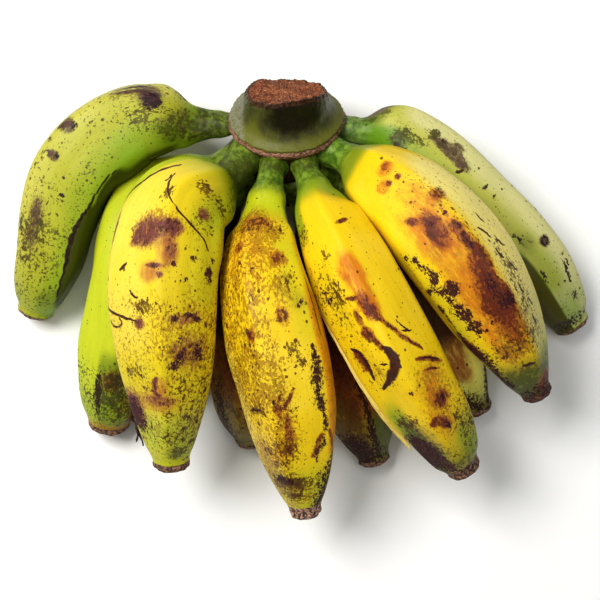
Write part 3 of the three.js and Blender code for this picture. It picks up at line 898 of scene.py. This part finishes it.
strip_material, shader = new_material("torn strip of peel")
where = carried("peel_place", "Vector")
fibre = noise(stretch(where, 0.12), 2.2, 4.0, 0.6)
browned = rise(noise(where, 0.35, 4.0, 0.7), 0.54, 0.7)
colour = blend(rise(fibre, 0.35, 0.65), "#cfae3c", "#ecd878")
fill(shader, {"Base Color": blend(times(browned, 0.6), colour, "#8a5a28"), "Roughness": 0.6,
              "Normal": bump(fibre, 0.5, 0.3)})
faces = tube_faces(np.arange(len(line) * STRIP_SIDES).reshape(-1, STRIP_SIDES))
strip = make_mesh("torn_strip", rows.reshape(-1, 3), faces, strip_material,
                  {"peel_place": flat.reshape(-1, 3)})
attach(strip, "root")
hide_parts("outer_finger_4")

# ---- Outer finger 5, the rusty one -------------------------------------------------------
# A heavy finger, bright yellow at its shoulder. Orange scald covers its middle, with purple
# brown bruises along the ridge, black specks to the left and a grey-green end.

finger = Finger("outer_finger_5", ridges=5, edge=0.055)
finger.swell(0.22, -80, 22, 14, 1.1)
grow_ends(finger, 0.105, 0.84, 0.9, scar_from=0.965)
finger.washes(
    green=[(0.42, 0.84, -82, -44, 0.45, 0.1, 20), (0.66, 0.96, 22, 90, 0.4, 0.2, 30),
           (0.09, 0.165, -60, 70, 0.85, 0.06, 30)],
    pale=[(0.28, 0.9, 24, 100, 1.0, 0.14, 46)],
    rust=[(0.36, 0.83, -40, 16, 0.62, 0.12, 34), (0.53, 0.72, -34, 10, 0.75, 0.08, 24),
          (0.25, 0.46, -16, 16, 0.34, 0.08, 16)],
    mottle=[(0.24, 0.95, 8, 95, 0.28, 0.06, 20), (0.3, 0.84, -40, 20, 0.3, 0.06, 20)],
    freckle=[(0.24, 0.46, -22, 24, 0.22, 0.08, 20), (0.34, 0.95, 5, 95, 0.24, 0.06, 30),
             (0.45, 0.8, -82, -30, 0.32)])
finger.marks(
    rust=[(0.247, 5, 5.5, 6), (0.277, -19, 4.5, 5), (0.455, -12, 16, 11)],
    bruise=[(0.242, 7, 3, 3.5, 0.66), (0.285, -9, 2.4, 2.4, 0.8), (0.29, 4, 2.4, 2.4, 0.8),
            (0.405, -24, 5, 3, 0.9, 40), (0.45, -10, 13, 7, 0.95), (0.475, -14, 8, 5, 0.7),
            (0.4, 18, 6, 6, 0.8), (0.56, 6, 9, 8, 0.8), (0.62, 3, 15, 9), (0.66, 9, 12, 8),
            (0.66, -4, 9, 9, 0.85), (0.73, 2, 12, 9, 0.7), (0.74, -62, 12, 6, 0.9),
            (0.935, 28, 8, 8, 0.8)],
    black=[(0.44, -8, 3, 2.4, 0.6), (0.39, 24, 2, 1.8, 0.8), (0.44, 10, 2, 2, 0.8),
           (0.61, 4, 8, 4, 0.72, -8), (0.665, 15, 6, 3.6, 0.85), (0.66, 7, 8, 5, 0.64),
           (0.695, -16, 1.9, 1.9, 0.9), (0.455, -57, 2, 2.4), (0.473, -49, 2.6, 2.6, 0.9),
           (0.532, -45, 3.4, 3.2, 0.9), (0.553, -61, 2.8, 3, 0.9), (0.575, -36, 5, 6.5, 0.92),
           (0.568, -48, 3.4, 3.4, 0.85), (0.558, -33, 2.4, 2.6, 0.85), (0.645, -41, 5, 4.2),
           (0.605, -60, 3.6, 2.8), (0.678, -42, 3.4, 3.4, 0.9), (0.683, -33, 3.6, 3.2, 0.9),
           (0.7, -38, 2.4, 2.6, 0.9), (0.705, -29, 1.8, 1.8, 0.9), (0.685, -64, 2.2, 2.6, 0.9),
           (0.95, -10, 7, 18, 0.62)],
    mottle=[(0.73, 4, 16, 14, 0.85), (0.78, -14, 10, 12, 0.8)],
    freckle=[(0.775, -8, 13, 14, 0.6), (0.62, 42, 24, 10, 0.5), (0.76, 34, 20, 12, 0.4)],
    grime=[(0.89, -20, 16, 26), (0.94, 10, 12, 26)])
finger.line([(0.465, 10), (0.49, 9), (0.515, 10), (0.545, 11), (0.57, 12)], 4.6, "bruise", ends=0.25)
finger.line([(0.47, 11), (0.5, 10), (0.53, 10)], 1.6, "black", 0.8)
finger.line([(0.473, -50), (0.495, -48), (0.52, -44), (0.535, -45), (0.55, -54), (0.553, -60)], 2.6,
             "black", 0.8)
finger.line([(0.595, -45), (0.615, -44), (0.635, -42), (0.655, -41)], 4.2, "black", 0.82, ends=0.5)
finger.line([(0.61, -60), (0.64, -60), (0.665, -60)], 1.5, "black", 0.8)
finger.line([(0.7, -63), (0.735, -61), (0.77, -58), (0.81, -57), (0.85, -58), (0.9, -56)], 5.2, "black",
             0.95)
finger.line([(0.66, -74), (0.72, -74), (0.79, -73)], 1.2, "black", 0.9)
finger.line([(0.842, -12), (0.845, -2), (0.848, 8)], 1.2)
finger.line([(0.5, 30), (0.512, 36), (0.53, 40)], 0.9)
dashes = ((0.47, 44, 0.9), (0.535, 50, 1.1), (0.555, 36, 1.3), (0.6, 48, 1.1), (0.655, 40, 1.4),
         (0.7, 50, 1.0), (0.745, 42, 1.2))
for share, angle, wide in dashes:
    finger.line([(share, angle), (share + 0.014, angle + 1), (share + 0.026, angle + 4)], wide)
finger.skin("peel_yellow", peel_material(
    "peel, rusty", "#eecb14", "#f4e27c", "#8f9a22", stem="#5f8420", rust="#cc7214", mottle="#93661e",
    bruise="#682618", dark="#331318", speck="#4d2c12", grime="#37381a", scar_tint="#6e4c3e"))

# ---- Outer finger 6, far right -----------------------------------------------------------
# Pale green going yellow, with its back painted paler as painted light, and the facet on its inner side
# painted dark olive as painted shade. Its neck is bluish green, and a round dark dot sits near its end.

finger = Finger("outer_finger_6", ridges=4, edge=0.07)
finger.swell(0.0, 36, 18, 13, -4.0)
grow_ends(finger, 0.10, 0.84, 0.4, scar_from=0.984)
# Painted light and shade: the olive bands darken the inner facet, and the first pale band lightens the lit
# back.
finger.washes(
    green=[(0.1, 0.22, -110, 0, 0.95, 0.06, 30), (0.14, 0.55, -110, 0, 0.5, 0.06, 40),
           (0.68, 1.0, -150, -14, 0.9, 0.08, 8), (0.6, 0.97, -12, 30, 0.3, 0.2)],
    olive=[(0.69, 1.0, -150, -15, 1.0, 0.06, 8), (0.87, 1.0, -150, -22, 0.8, 0.06, 12)],
    pale=[(0.2, 0.9, 20, 110, 0.75, 0.06, 40), (0.84, 0.98, -20, 100, 0.8, 0.08)],
    mottle=[(0.14, 0.36, -40, 60, 0.34, 0.1)],
    freckle=[(0.15, 0.98, -110, 100, 0.18), (0.85, 0.99, -20, 110, 0.24)])
finger.marks(
    grime=[(0.14, 52, 12, 9), (0.205, -22, 7, 7, 0.8), (0.68, 2, 9, 6, 0.6)],
    bruise=[(0.15, 66, 10, 6), (0.315, 22, 11, 4.4, 0.74), (0.36, 21, 13, 5, 0.85),
            (0.355, 36, 5, 3.4, 0.8), (0.395, 17, 6, 3.4, 0.75), (0.712, 29, 4.2, 4.2)],
    black=[(0.155, 70, 3, 3, 0.8), (0.205, -30, 2.4, 2.4, 0.8), (0.31, 26, 2.2, 2, 0.7),
           (0.485, 18, 1.3, 3.4, 0.95), (0.522, 17, 1.1, 2.2, 0.9), (0.59, -17, 1.8, 1.8),
           (0.642, -4, 1.8, 1.4, 0.9), (0.658, -3, 2.0, 1.5, 0.9), (0.835, 21, 1.5, 1.3, 0.9),
           (0.89, 30, 4, 3, 0.8), (0.64, 56, 2, 1.6, 0.8), (0.955, -26, 6, 20, 0.6)],
    freckle=[(0.205, -14, 8, 10, 0.7), (0.25, 0, 8, 5, 0.7), (0.28, 28, 5, 5, 0.9)])
finger.line([(0.395, 2), (0.402, 7), (0.405, 14)], 1.0)
finger.line([(0.27, -22), (0.35, -21), (0.42, -19), (0.5, -18), (0.58, -17)], 0.9, ends=0.6)
finger.line([(0.706, 25), (0.702, 30), (0.708, 35), (0.718, 35), (0.724, 30), (0.719, 24), (0.708, 24)],
             1.2, "black", 0.9, ends=1.0)
finger.line([(0.76, -8), (0.785, -10), (0.8, -12)], 1.5, "black", 0.85)
finger.line([(0.785, 35), (0.805, 35), (0.825, 34), (0.848, 31)], 1.5, "black", 0.95)
finger.line([(0.788, 42), (0.794, 46), (0.8, 42), (0.808, 44)], 0.8)
finger.skin("peel_green", peel_material(
    "peel, far right", "#b9b954", "#d6d190", "#6d9420", stem="#708f4a", rust="#857045", mottle="#7c7432",
    speck="#4a451c", bruise="#66503e", dark="#2b201f", grime="#3c3a12", olive="#514509"))

# ---- Inner finger 1, lime green ----------------------------------------------------------
# It lies behind the broad yellow finger. Bright, nearly unmarked lime peel, with a dark
# stained end.

finger = Finger("inner_finger_1", ridges=5, rows=230, sides=112)
finger.swell(0.34, -84, 44, 26, 3.2)
finger.swell(0.94, 78, 26, 16, 2.6)
grow_ends(finger, 0.12, 0.84, 0.5)
finger.washes(
    green=[(0.1, 0.5, -120, 60, 0.25, 0.3), (0.74, 0.98, -14, 90, 0.9, 0.06, 16)],
    grime=[(0.76, 0.98, -14, 90, 0.3, 0.06, 16)],
    freckle=[(0.76, 0.98, -120, 90, 0.5), (0.1, 0.75, -120, 90, 0.07)],
    rust=[(0.955, 1.0, -180, 180, 0.8)])
finger.marks(
    black=[(0.76, -74, 5, 2.4, 0.7), (0.85, -12, 18, 3.2)],
    bruise=[(0.81, 12, 9, 8, 0.8), (0.93, 70, 8, 8, 0.7)],
    freckle=[(0.86, 20, 16, 12, 0.7)],
    mottle=[(0.88, 50, 16, 12, 0.8)])
finger.line([(0.61, -78), (0.64, -76), (0.67, -78)], 1.8, "black", 0.9)
finger.skin("peel_green", peel_material(
    "peel, lime", "#c2ca28", "#d2d84a", "#8b9c24", speck="#3f3a14", bruise="#4e3a1c", dark="#2a1c10",
    grime="#3a3a16"))

# ---- The rest of the inner row -----------------------------------------------------------
# Four smaller fingers behind the gaps of the outer row. They ripened in its shade, and their ends are
# stained brown. From the neck down, most of their length is painted dark maroon brown as the painted shade
# of the gaps, and the yellow one is painted brighter as painted light.

inner_row = {
    "inner_finger_2": ("#8f8a2e", "#b0a63c", "#4f5626", "#3b2a14", "peel_shaded", 0.50, 0.62, 0.60),
    "inner_finger_3": ("#a58a28", "#b49036", "#59601f", "#4b2c16", "peel_shaded", 0.45, 0.55, 0.60),
    "inner_finger_4": ("#b2941e", "#bc962a", "#65721e", "#4a2610", "peel_shaded", 0.45, 0.42, 0.66),
    "inner_finger_5": ("#fae634", "#fdf07a", "#969e2e", "#4a2c16", "peel_yellow", 0.91, 0.16, 0.72),
}
for node, (ripe, pale, green, stained, slot, stain_from, stain, painted_shade_to) in inner_row.items():
    finger = Finger(node, ridges=5, rows=190, sides=96)
    grow_ends(finger, 0.14, 0.86, 0.6)
    # Painted shade: the olive band darkens each finger from its neck to where the gap's shade ends.
    finger.washes(
        freckle=[(0.3, 0.98, -180, 180, 0.55 * stain)],
        mottle=[(0.3, 0.98, -180, 180, 0.70 * stain)],
        grime=[(stain_from, 1.0, -180, 180, stain, 0.3)],
        olive=[(0.16, painted_shade_to, -180, 180, 1.0, 0.12)])
    if node == "inner_finger_2":
        finger.washes(black=[(0.84, 1.0, -180, 180, 0.8, 0.1)])
        thready = finger
    if node == "inner_finger_3":
        finger.washes(rust=[(0.3, 0.80, -180, 180, 0.8, 0.2)])
        finger.marks(bruise=[(0.62, -10, 30, 16, 0.8)], black=[(0.86, -60, 30, 10, 0.7)])
    if node == "inner_finger_4":
        finger.washes(
            rust=[(0.3, 0.80, -30, 70, 0.8, 0.1)],
            grime=[(0.3, 1.0, -130, -4, 1.0, 0.06, 14)],
            bruise=[(0.3, 0.72, -90, 60, 0.6, 0.2)],
            green=[(0.76, 1.0, 10, 100, 0.8)])
        finger.marks(black=[(0.92, -40, 20, 14, 0.9)])
        finger.line([(0.62, 2), (0.72, 5), (0.82, 8), (0.95, 10)], 2.6, "black")
    if node == "inner_finger_5":
        # Painted light: this finger sits in shade, so its pale band and its bright ripe and pale colours
        # stand in for light.
        finger.washes(
            pale=[(0.6, 0.96, -30, 80, 1.0, 0.1)],
            rust=[(0.4, 0.85, -120, 14, 1.0, 0.08, 24)],
            grime=[(0.93, 1.0, -180, 180, 0.9, 0.05)])
        finger.marks(bruise=[(0.82, -70, 22, 8, 0.9)])
        finger.line([(0.80, -60), (0.85, -48), (0.90, -34), (0.94, -16), (0.96, 0)], 6.0, "black", ends=0.5)
        finger.line([(0.82, 62), (0.87, 58), (0.92, 54), (0.97, 48)], 4.0, "black", ends=0.5)
    finger.skin(slot, peel_material(
        "peel, " + node.replace("_", " "), ripe, pale, green, rust="#a04a18", mottle="#6a4414",
        bruise="#5a2414", speck="#3a2410", grime=stained, olive="#30170c"))

# The threads: dried remains of the flower that hang from the end of inner finger 2.
THREAD_ROWS = 36
THREAD_SIDES = 10
THREADS = ((8.2, 2.4, 1.0), (7.0, 0.9, 2.0), (4.6, 3.0, 0.4))    # reach, sideways and lift in millimetres
end = thready.places[thready.at(0.995, -20)]
thread_places, thread_faces, thread_flat = [], [], []
on = np.linspace(0, 1, THREAD_ROWS)[:, None]
turn = np.linspace(0, -2 * math.pi, THREAD_SIDES, endpoint=False)
for reach, sideways, lift in THREADS:
    path = end + (on * [sideways, -reach, 0] + np.sin(on * 2.6) * [0, 0, lift]) * MM
    path += 0.7 * MM * on * np.stack([wavy(path, 5 * MM) for _ in range(3)], 1)
    path += 1.8 * MM * (1 - on) * [0, 1, 0]
    thick = (0.68 * (1 - 0.6 * on) + 0.16 * wavy(path, 2 * MM)[:, None]) * MM
    rings = path[:, None] + thick[..., None] * round_about(turn, *across(unit(np.gradient(path, axis=0))))
    index = np.arange(THREAD_ROWS * THREAD_SIDES).reshape(THREAD_ROWS, THREAD_SIDES)
    thread_faces += tube_faces(index + len(thread_places) * index.size)
    thread_places.append(rings.reshape(-1, 3))
    flat = np.stack(np.broadcast_arrays(on * reach, np.cos(turn), np.sin(turn)), -1)
    thread_flat.append(flat.reshape(-1, 3))
thread_material, shader = new_material("dried flower threads")
shred = noise(stretch(carried("peel_place", "Vector"), 0.6), 1.2, 4.0, 0.7)
fill(shader, {"Base Color": blend(rise(shred, 0.35, 0.65), "#150d0b", "#4a3026"), "Roughness": 0.75,
              "Normal": bump(shred, 0.6, 0.2)})
threads = make_mesh("dried_threads", np.vstack(thread_places), thread_faces, thread_material,
                    {"peel_place": np.vstack(thread_flat)})
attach(threads, "root")
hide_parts("inner_finger_2")

# ---- Stalk piece -------------------------------------------------------------------------
# A short length of the bunch's stalk that the whole hand grows from. A corky ring runs round
# it over the fingers, its green skin sweeps up from there to a neck, and both its ends are cut.

STALK_LEAN = math.radians(35.8)      # from upright, away from the camera's side of the hand
LOWER_END = 32.2                     # millimetres from the ring down to the lower cut
CUT_MIDDLE = 12.6                    # and up to the middle of the upper cut
CUT_SLANT = math.radians(26)
NECK_RADIUS = 14.9
FIXED_BELOW = 3.4                    # only what is higher than this meets the upper cut
WALL_ROWS = 210
NECK_ROWS = 48
FACE_ROWS = 30
STALK_SIDES = 256

stalk_up = np.array([0, math.sin(STALK_LEAN), math.cos(STALK_LEAN)])
stalk_front = np.array([0, -math.cos(STALK_LEAN), math.sin(STALK_LEAN)])
stalk_side = np.array([1.0, 0, 0])
_, spots = places_of("crown")
heights = spots @ stalk_up
foot = spots[heights < heights.min() + 0.05 * MM]
foot = (foot.min(0) + foot.max(0)) / 2
ring_middle = foot + stalk_up * (heights.min() - foot @ stalk_up + LOWER_END * MM)

# Radius against height above the ring, in millimetres, from the lower cut to the neck.
wall = np.array([
    (13.2, -32.2), (14.4, -31.6), (15.0, -30.2), (16.2, -26), (17.6, -20), (18.6, -12), (18.9, -6.5),
    (19.0, -4.2), (19.5, -3.3), (20.2, -2.7), (20.75, -1.9), (20.95, -1.0), (20.75, -0.3), (20.2, 0.2),
    (20.15, 0.55), (20.4, 0.9), (20.25, 1.3), (19.6, 1.75), (18.5, 2.5), (17.3, 3.9), (16.3, 6.0),
    (15.6, 8.7), (15.2, 12), (14.95, 16), (14.9, 24)])
spread = np.concatenate([[0], np.cumsum(np.linalg.norm(np.diff(wall, axis=0), axis=1))])
wall_rows = smooth_through(spread, wall, np.linspace(0, spread[-1], WALL_ROWS))
fixed = wall_rows[wall_rows[:, 1] < FIXED_BELOW]
turned = np.linspace(0, 2 * math.pi, STALK_SIDES, endpoint=False)   # 0 is the front, 90 the right


def hill(middle, wide):
    """A soft bump round the stalk, its middle and width in degrees."""
    off = (np.degrees(turned) - middle + 180) % 360 - 180
    return np.exp(-(off / wide) ** 2)


# The cut was torn as much as sliced: it sags at the front left and stands up at the back.
rim_top = CUT_MIDDLE + math.tan(CUT_SLANT) * NECK_RADIUS * np.cos(turned)
rim_top += -1.6 * hill(-38, 30) + 0.7 * hill(50, 24) + 1.5 * hill(-136, 17) + 1.0 * hill(124, 15)
climb = np.linspace(0, 1, NECK_ROWS)[:, None]
neck_heights = FIXED_BELOW + (rim_top[None] - FIXED_BELOW) * climb
neck_radii = np.interp(neck_heights, wall_rows[:, 1], wall_rows[:, 0])
heights = np.vstack([np.repeat(fixed[:, 1:], STALK_SIDES, 1), neck_heights])
radii = np.vstack([np.repeat(fixed[:, :1], STALK_SIDES, 1), neck_radii])


def stalk_rows():
    """Places round the stalk's axis from the rows of radii and heights in millimetres."""
    out = round_about(turned, stalk_front, stalk_side)
    return ring_middle + out * radii[..., None] * MM + stalk_up * heights[..., None] * MM


# Skin: shallow lengthwise grooves, a cracked corky ring, and a lip dried back at the cut.
first = stalk_rows()
lengthwise = np.stack([heights * 0.15, radii * np.cos(turned), radii * np.sin(turned)], -1) * MM
cork = np.exp(-((heights + 0.1) / 1.7) ** 2)
below = 1 - soft_step(heights, -5, -2.2)
above = soft_step(heights, 1.5, 4)
to_cut = np.maximum(rim_top[None] - heights, 0)
lip = np.exp(-(to_cut / 1.5) ** 2) * above
fringe = np.exp(-(to_cut / 3.2) ** 2) * above
radii = radii + 0.35 * wavy(first, 22 * MM) + 0.14 * wavy(lengthwise, 4 * MM)
radii += cork * (0.22 * wavy(first, 1.9 * MM) + 0.24 * wavy(first, 5 * MM))
radii += cork * 0.8 * (hill(-95, 35) + hill(95, 35))
radii += below * (0.45 * wavy(lengthwise, 3 * MM) + 0.25 * wavy(first, 5 * MM))
radii += -0.55 * lip + 0.30 * fringe * wavy(first, 2.0 * MM) + 0.22 * fringe * wavy(lengthwise, 1.6 * MM)
heights = heights + cork * 0.45 * wavy(first, 9 * MM)
heights += lip * (0.45 * wavy(first, 4 * MM) + 0.25 * wavy(first, 1.6 * MM))
skin_rows = stalk_rows()
face_shares = np.linspace(1, 0, FACE_ROWS + 1)[1:-1]


def cut_face(rim, normal, sunk, rough):
    """Rows of places from a cut's rim to its middle, with torn fibres and a sunken middle."""
    middle = rim.mean(0)
    rows = middle + (rim - middle)[None] * face_shares[:, None, None]
    bumps = rough * (wavy(rows, 1.4 * MM) + 0.9 * wavy(rows, 2.6 * MM)) + 0.6 * rough * wavy(rows, 8 * MM)
    dip = -sunk * (1 - face_shares ** 2)[:, None]
    edge = soft_step(1 - face_shares, 0, 0.1)[:, None]
    return rows + ((bumps * edge + dip) * MM)[..., None] * normal


cut_normal = math.cos(CUT_SLANT) * stalk_up - math.sin(CUT_SLANT) * stalk_front
upper_face = cut_face(skin_rows[-1], cut_normal, 0.5, 0.42)
lower_face = cut_face(skin_rows[0], -stalk_up, 0.3, 0.25)
rows = np.concatenate([lower_face[::-1], skin_rows, upper_face])
places = with_ends(rows)
faces, corners = closed(len(rows), STALK_SIDES)
stalk_place = (places - ring_middle) @ np.stack([stalk_side, stalk_front, stalk_up], 1) / MM
x, y, z = stalk_place.T


def on_stalk(values):
    """Adds the two cut ends, where a skin's value is none, to its rows of values."""
    return with_ends(np.pad(values, ((len(face_shares), len(face_shares)), (0, 0))))


cut_depth = np.concatenate([1 - face_shares[::-1], np.zeros(len(skin_rows)), 1 - face_shares])
dark_half = 6.5 + 5.5 * soft_step(z, 4, 11)
carries = {
    "stalk_place": stalk_place,
    "cut": soft_step(with_ends(np.repeat(cut_depth[:, None], STALK_SIDES, 1)), 0.0, 0.10),
    "fringe": on_stalk(0.95 * np.exp(-(to_cut / 1.9) ** 4) * above),
    "cork": np.exp(-((z + 0.7) / 1.35) ** 4) * (np.hypot(x, y) > 16),
    "smudge": 0.85 * np.exp(-((x - 3.0) / dark_half) ** 4) * soft_step(z, 1.6, 9.5) * (y > 0),
    # The olive skirt by the ring is the stalk's own colour; the round spot at the front left of the neck is
    # a painted highlight.
    "olive": 0.8 * (1 - soft_step(z, 1.5, 6)) + 0.9 * np.exp(-((x + 11.5) / 3) ** 2 - ((z - 5) / 4) ** 2),
    # Where a painted highlight lies on the stalk's left and right flanks.
    "painted_sheen": soft_step(-x, 13.5, 17) * (z > 0.5) + soft_step(x, 11, 14) * soft_step(z, 4, 9),
    # Where the painted shade under the ring lies.
    "below": 1 - soft_step(z, -4.2, -2.4),
}

stalk_material, shader = new_material("stalk skin and cut")
where = carried("stalk_place", "Vector")
clouds = noise(where, 0.16, 4.0)
strands = noise(stretch(where, z=0.12), 0.9, 5.0, 0.65)
skin = blend(rise(clouds, 0.38, 0.62), "#46462a", "#565829")
# The olive skirt by the ring is the stalk's own colour; the round spot at the front left of the neck is a
# painted highlight.
skin = blend(effect(ragged, where, carried("olive"), 0.25, 0.9, 0.45), skin, "#686a24")
skin = blend(times(rise(strands, 0.5, 0.72), 0.4), skin, "#77703f")
# Painted highlight: a pale grey sheen laid on the left and right flanks.
painted_sheen = times(effect(ragged, where, carried("painted_sheen"), 0.35, 1.0, 0.4), rise(strands, 0.3, 0.6))
skin = blend(times(painted_sheen, 0.75), skin, "#8a8878")
pits = effect(pepper, where, 0.16, 0.8, 0.05)
skin = blend(times(pits, 0.5), skin, "#2c2014")
# Below the ring: painted shade, near black brown, with reddish scraps speckled over it.
under = blend(rise(strands, 0.35, 0.65), "#24120d", "#4d3a22")
scraps = effect(pepper, where, 0.42, 0.5, 0.04)
under = blend(times(scraps, 0.7), under, "#7e4a40")
colour = blend(carried("below"), skin, under)
stained = effect(ragged, where, carried("smudge"), 0.4, 0.7, 0.42)
stained = times(stained, scaled(rise(strands, 0.62, 0.8), -0.25, 0.95))
colour = blend(stained, colour, "#140e0c")
burnt = effect(ragged, where, carried("fringe"), 0.9, 1.1, 0.16)
colour = blend(times(burnt, 0.9), colour, blend(rise(strands, 0.35, 0.65), "#27130f", "#5c3a2c"))
cracked = noise(stretch(where, z=2.5), 0.9, 5.0, 0.7)
cork_colour = blend(rise(cracked, 0.36, 0.64), "#4a2c20", "#a67c62")
colour = blend(effect(ragged, where, carried("cork"), 0.8, 0.45, 0.2), colour, cork_colour)
is_cut = carried("cut")
torn = noise(where, 1.3, 4.0, 0.7)
bundles = add_node("ShaderNodeTexVoronoi", {"Vector": where, "Scale": 1.3})["Distance"]
flesh = blend(rise(noise(where, 0.28), 0.38, 0.62), "#85492e", "#a96a44")
flesh = blend(times(rise(torn, 0.50, 0.70), 0.7), flesh, "#dba784")
flesh = blend(times(rise(bundles, 0.42, 0.62), 0.62), flesh, "#552a1a")
flesh = blend(rise(is_cut, 0.5, 0.95), "#4f2c1e", flesh)
colour = blend(rise(is_cut, 0.15, 0.4), colour, flesh)
height = scaled(strands, 0.6, times(clouds, 0.3))
height = scaled(times(torn, is_cut), 2.0, height)
height = scaled(times(cracked, carried("cork")), 1.2, height)
fill(shader, {"Base Color": colour, "Roughness": scaled(rise(is_cut, 0.1, 0.4), 0.3, 0.46),
              "Specular IOR Level": 0.32, "Normal": bump(height, 0.7, 0.4)})

stalk = make_mesh("stalk_piece", places, faces, stalk_material, carries, corners)
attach(stalk, "root")
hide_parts("crown")
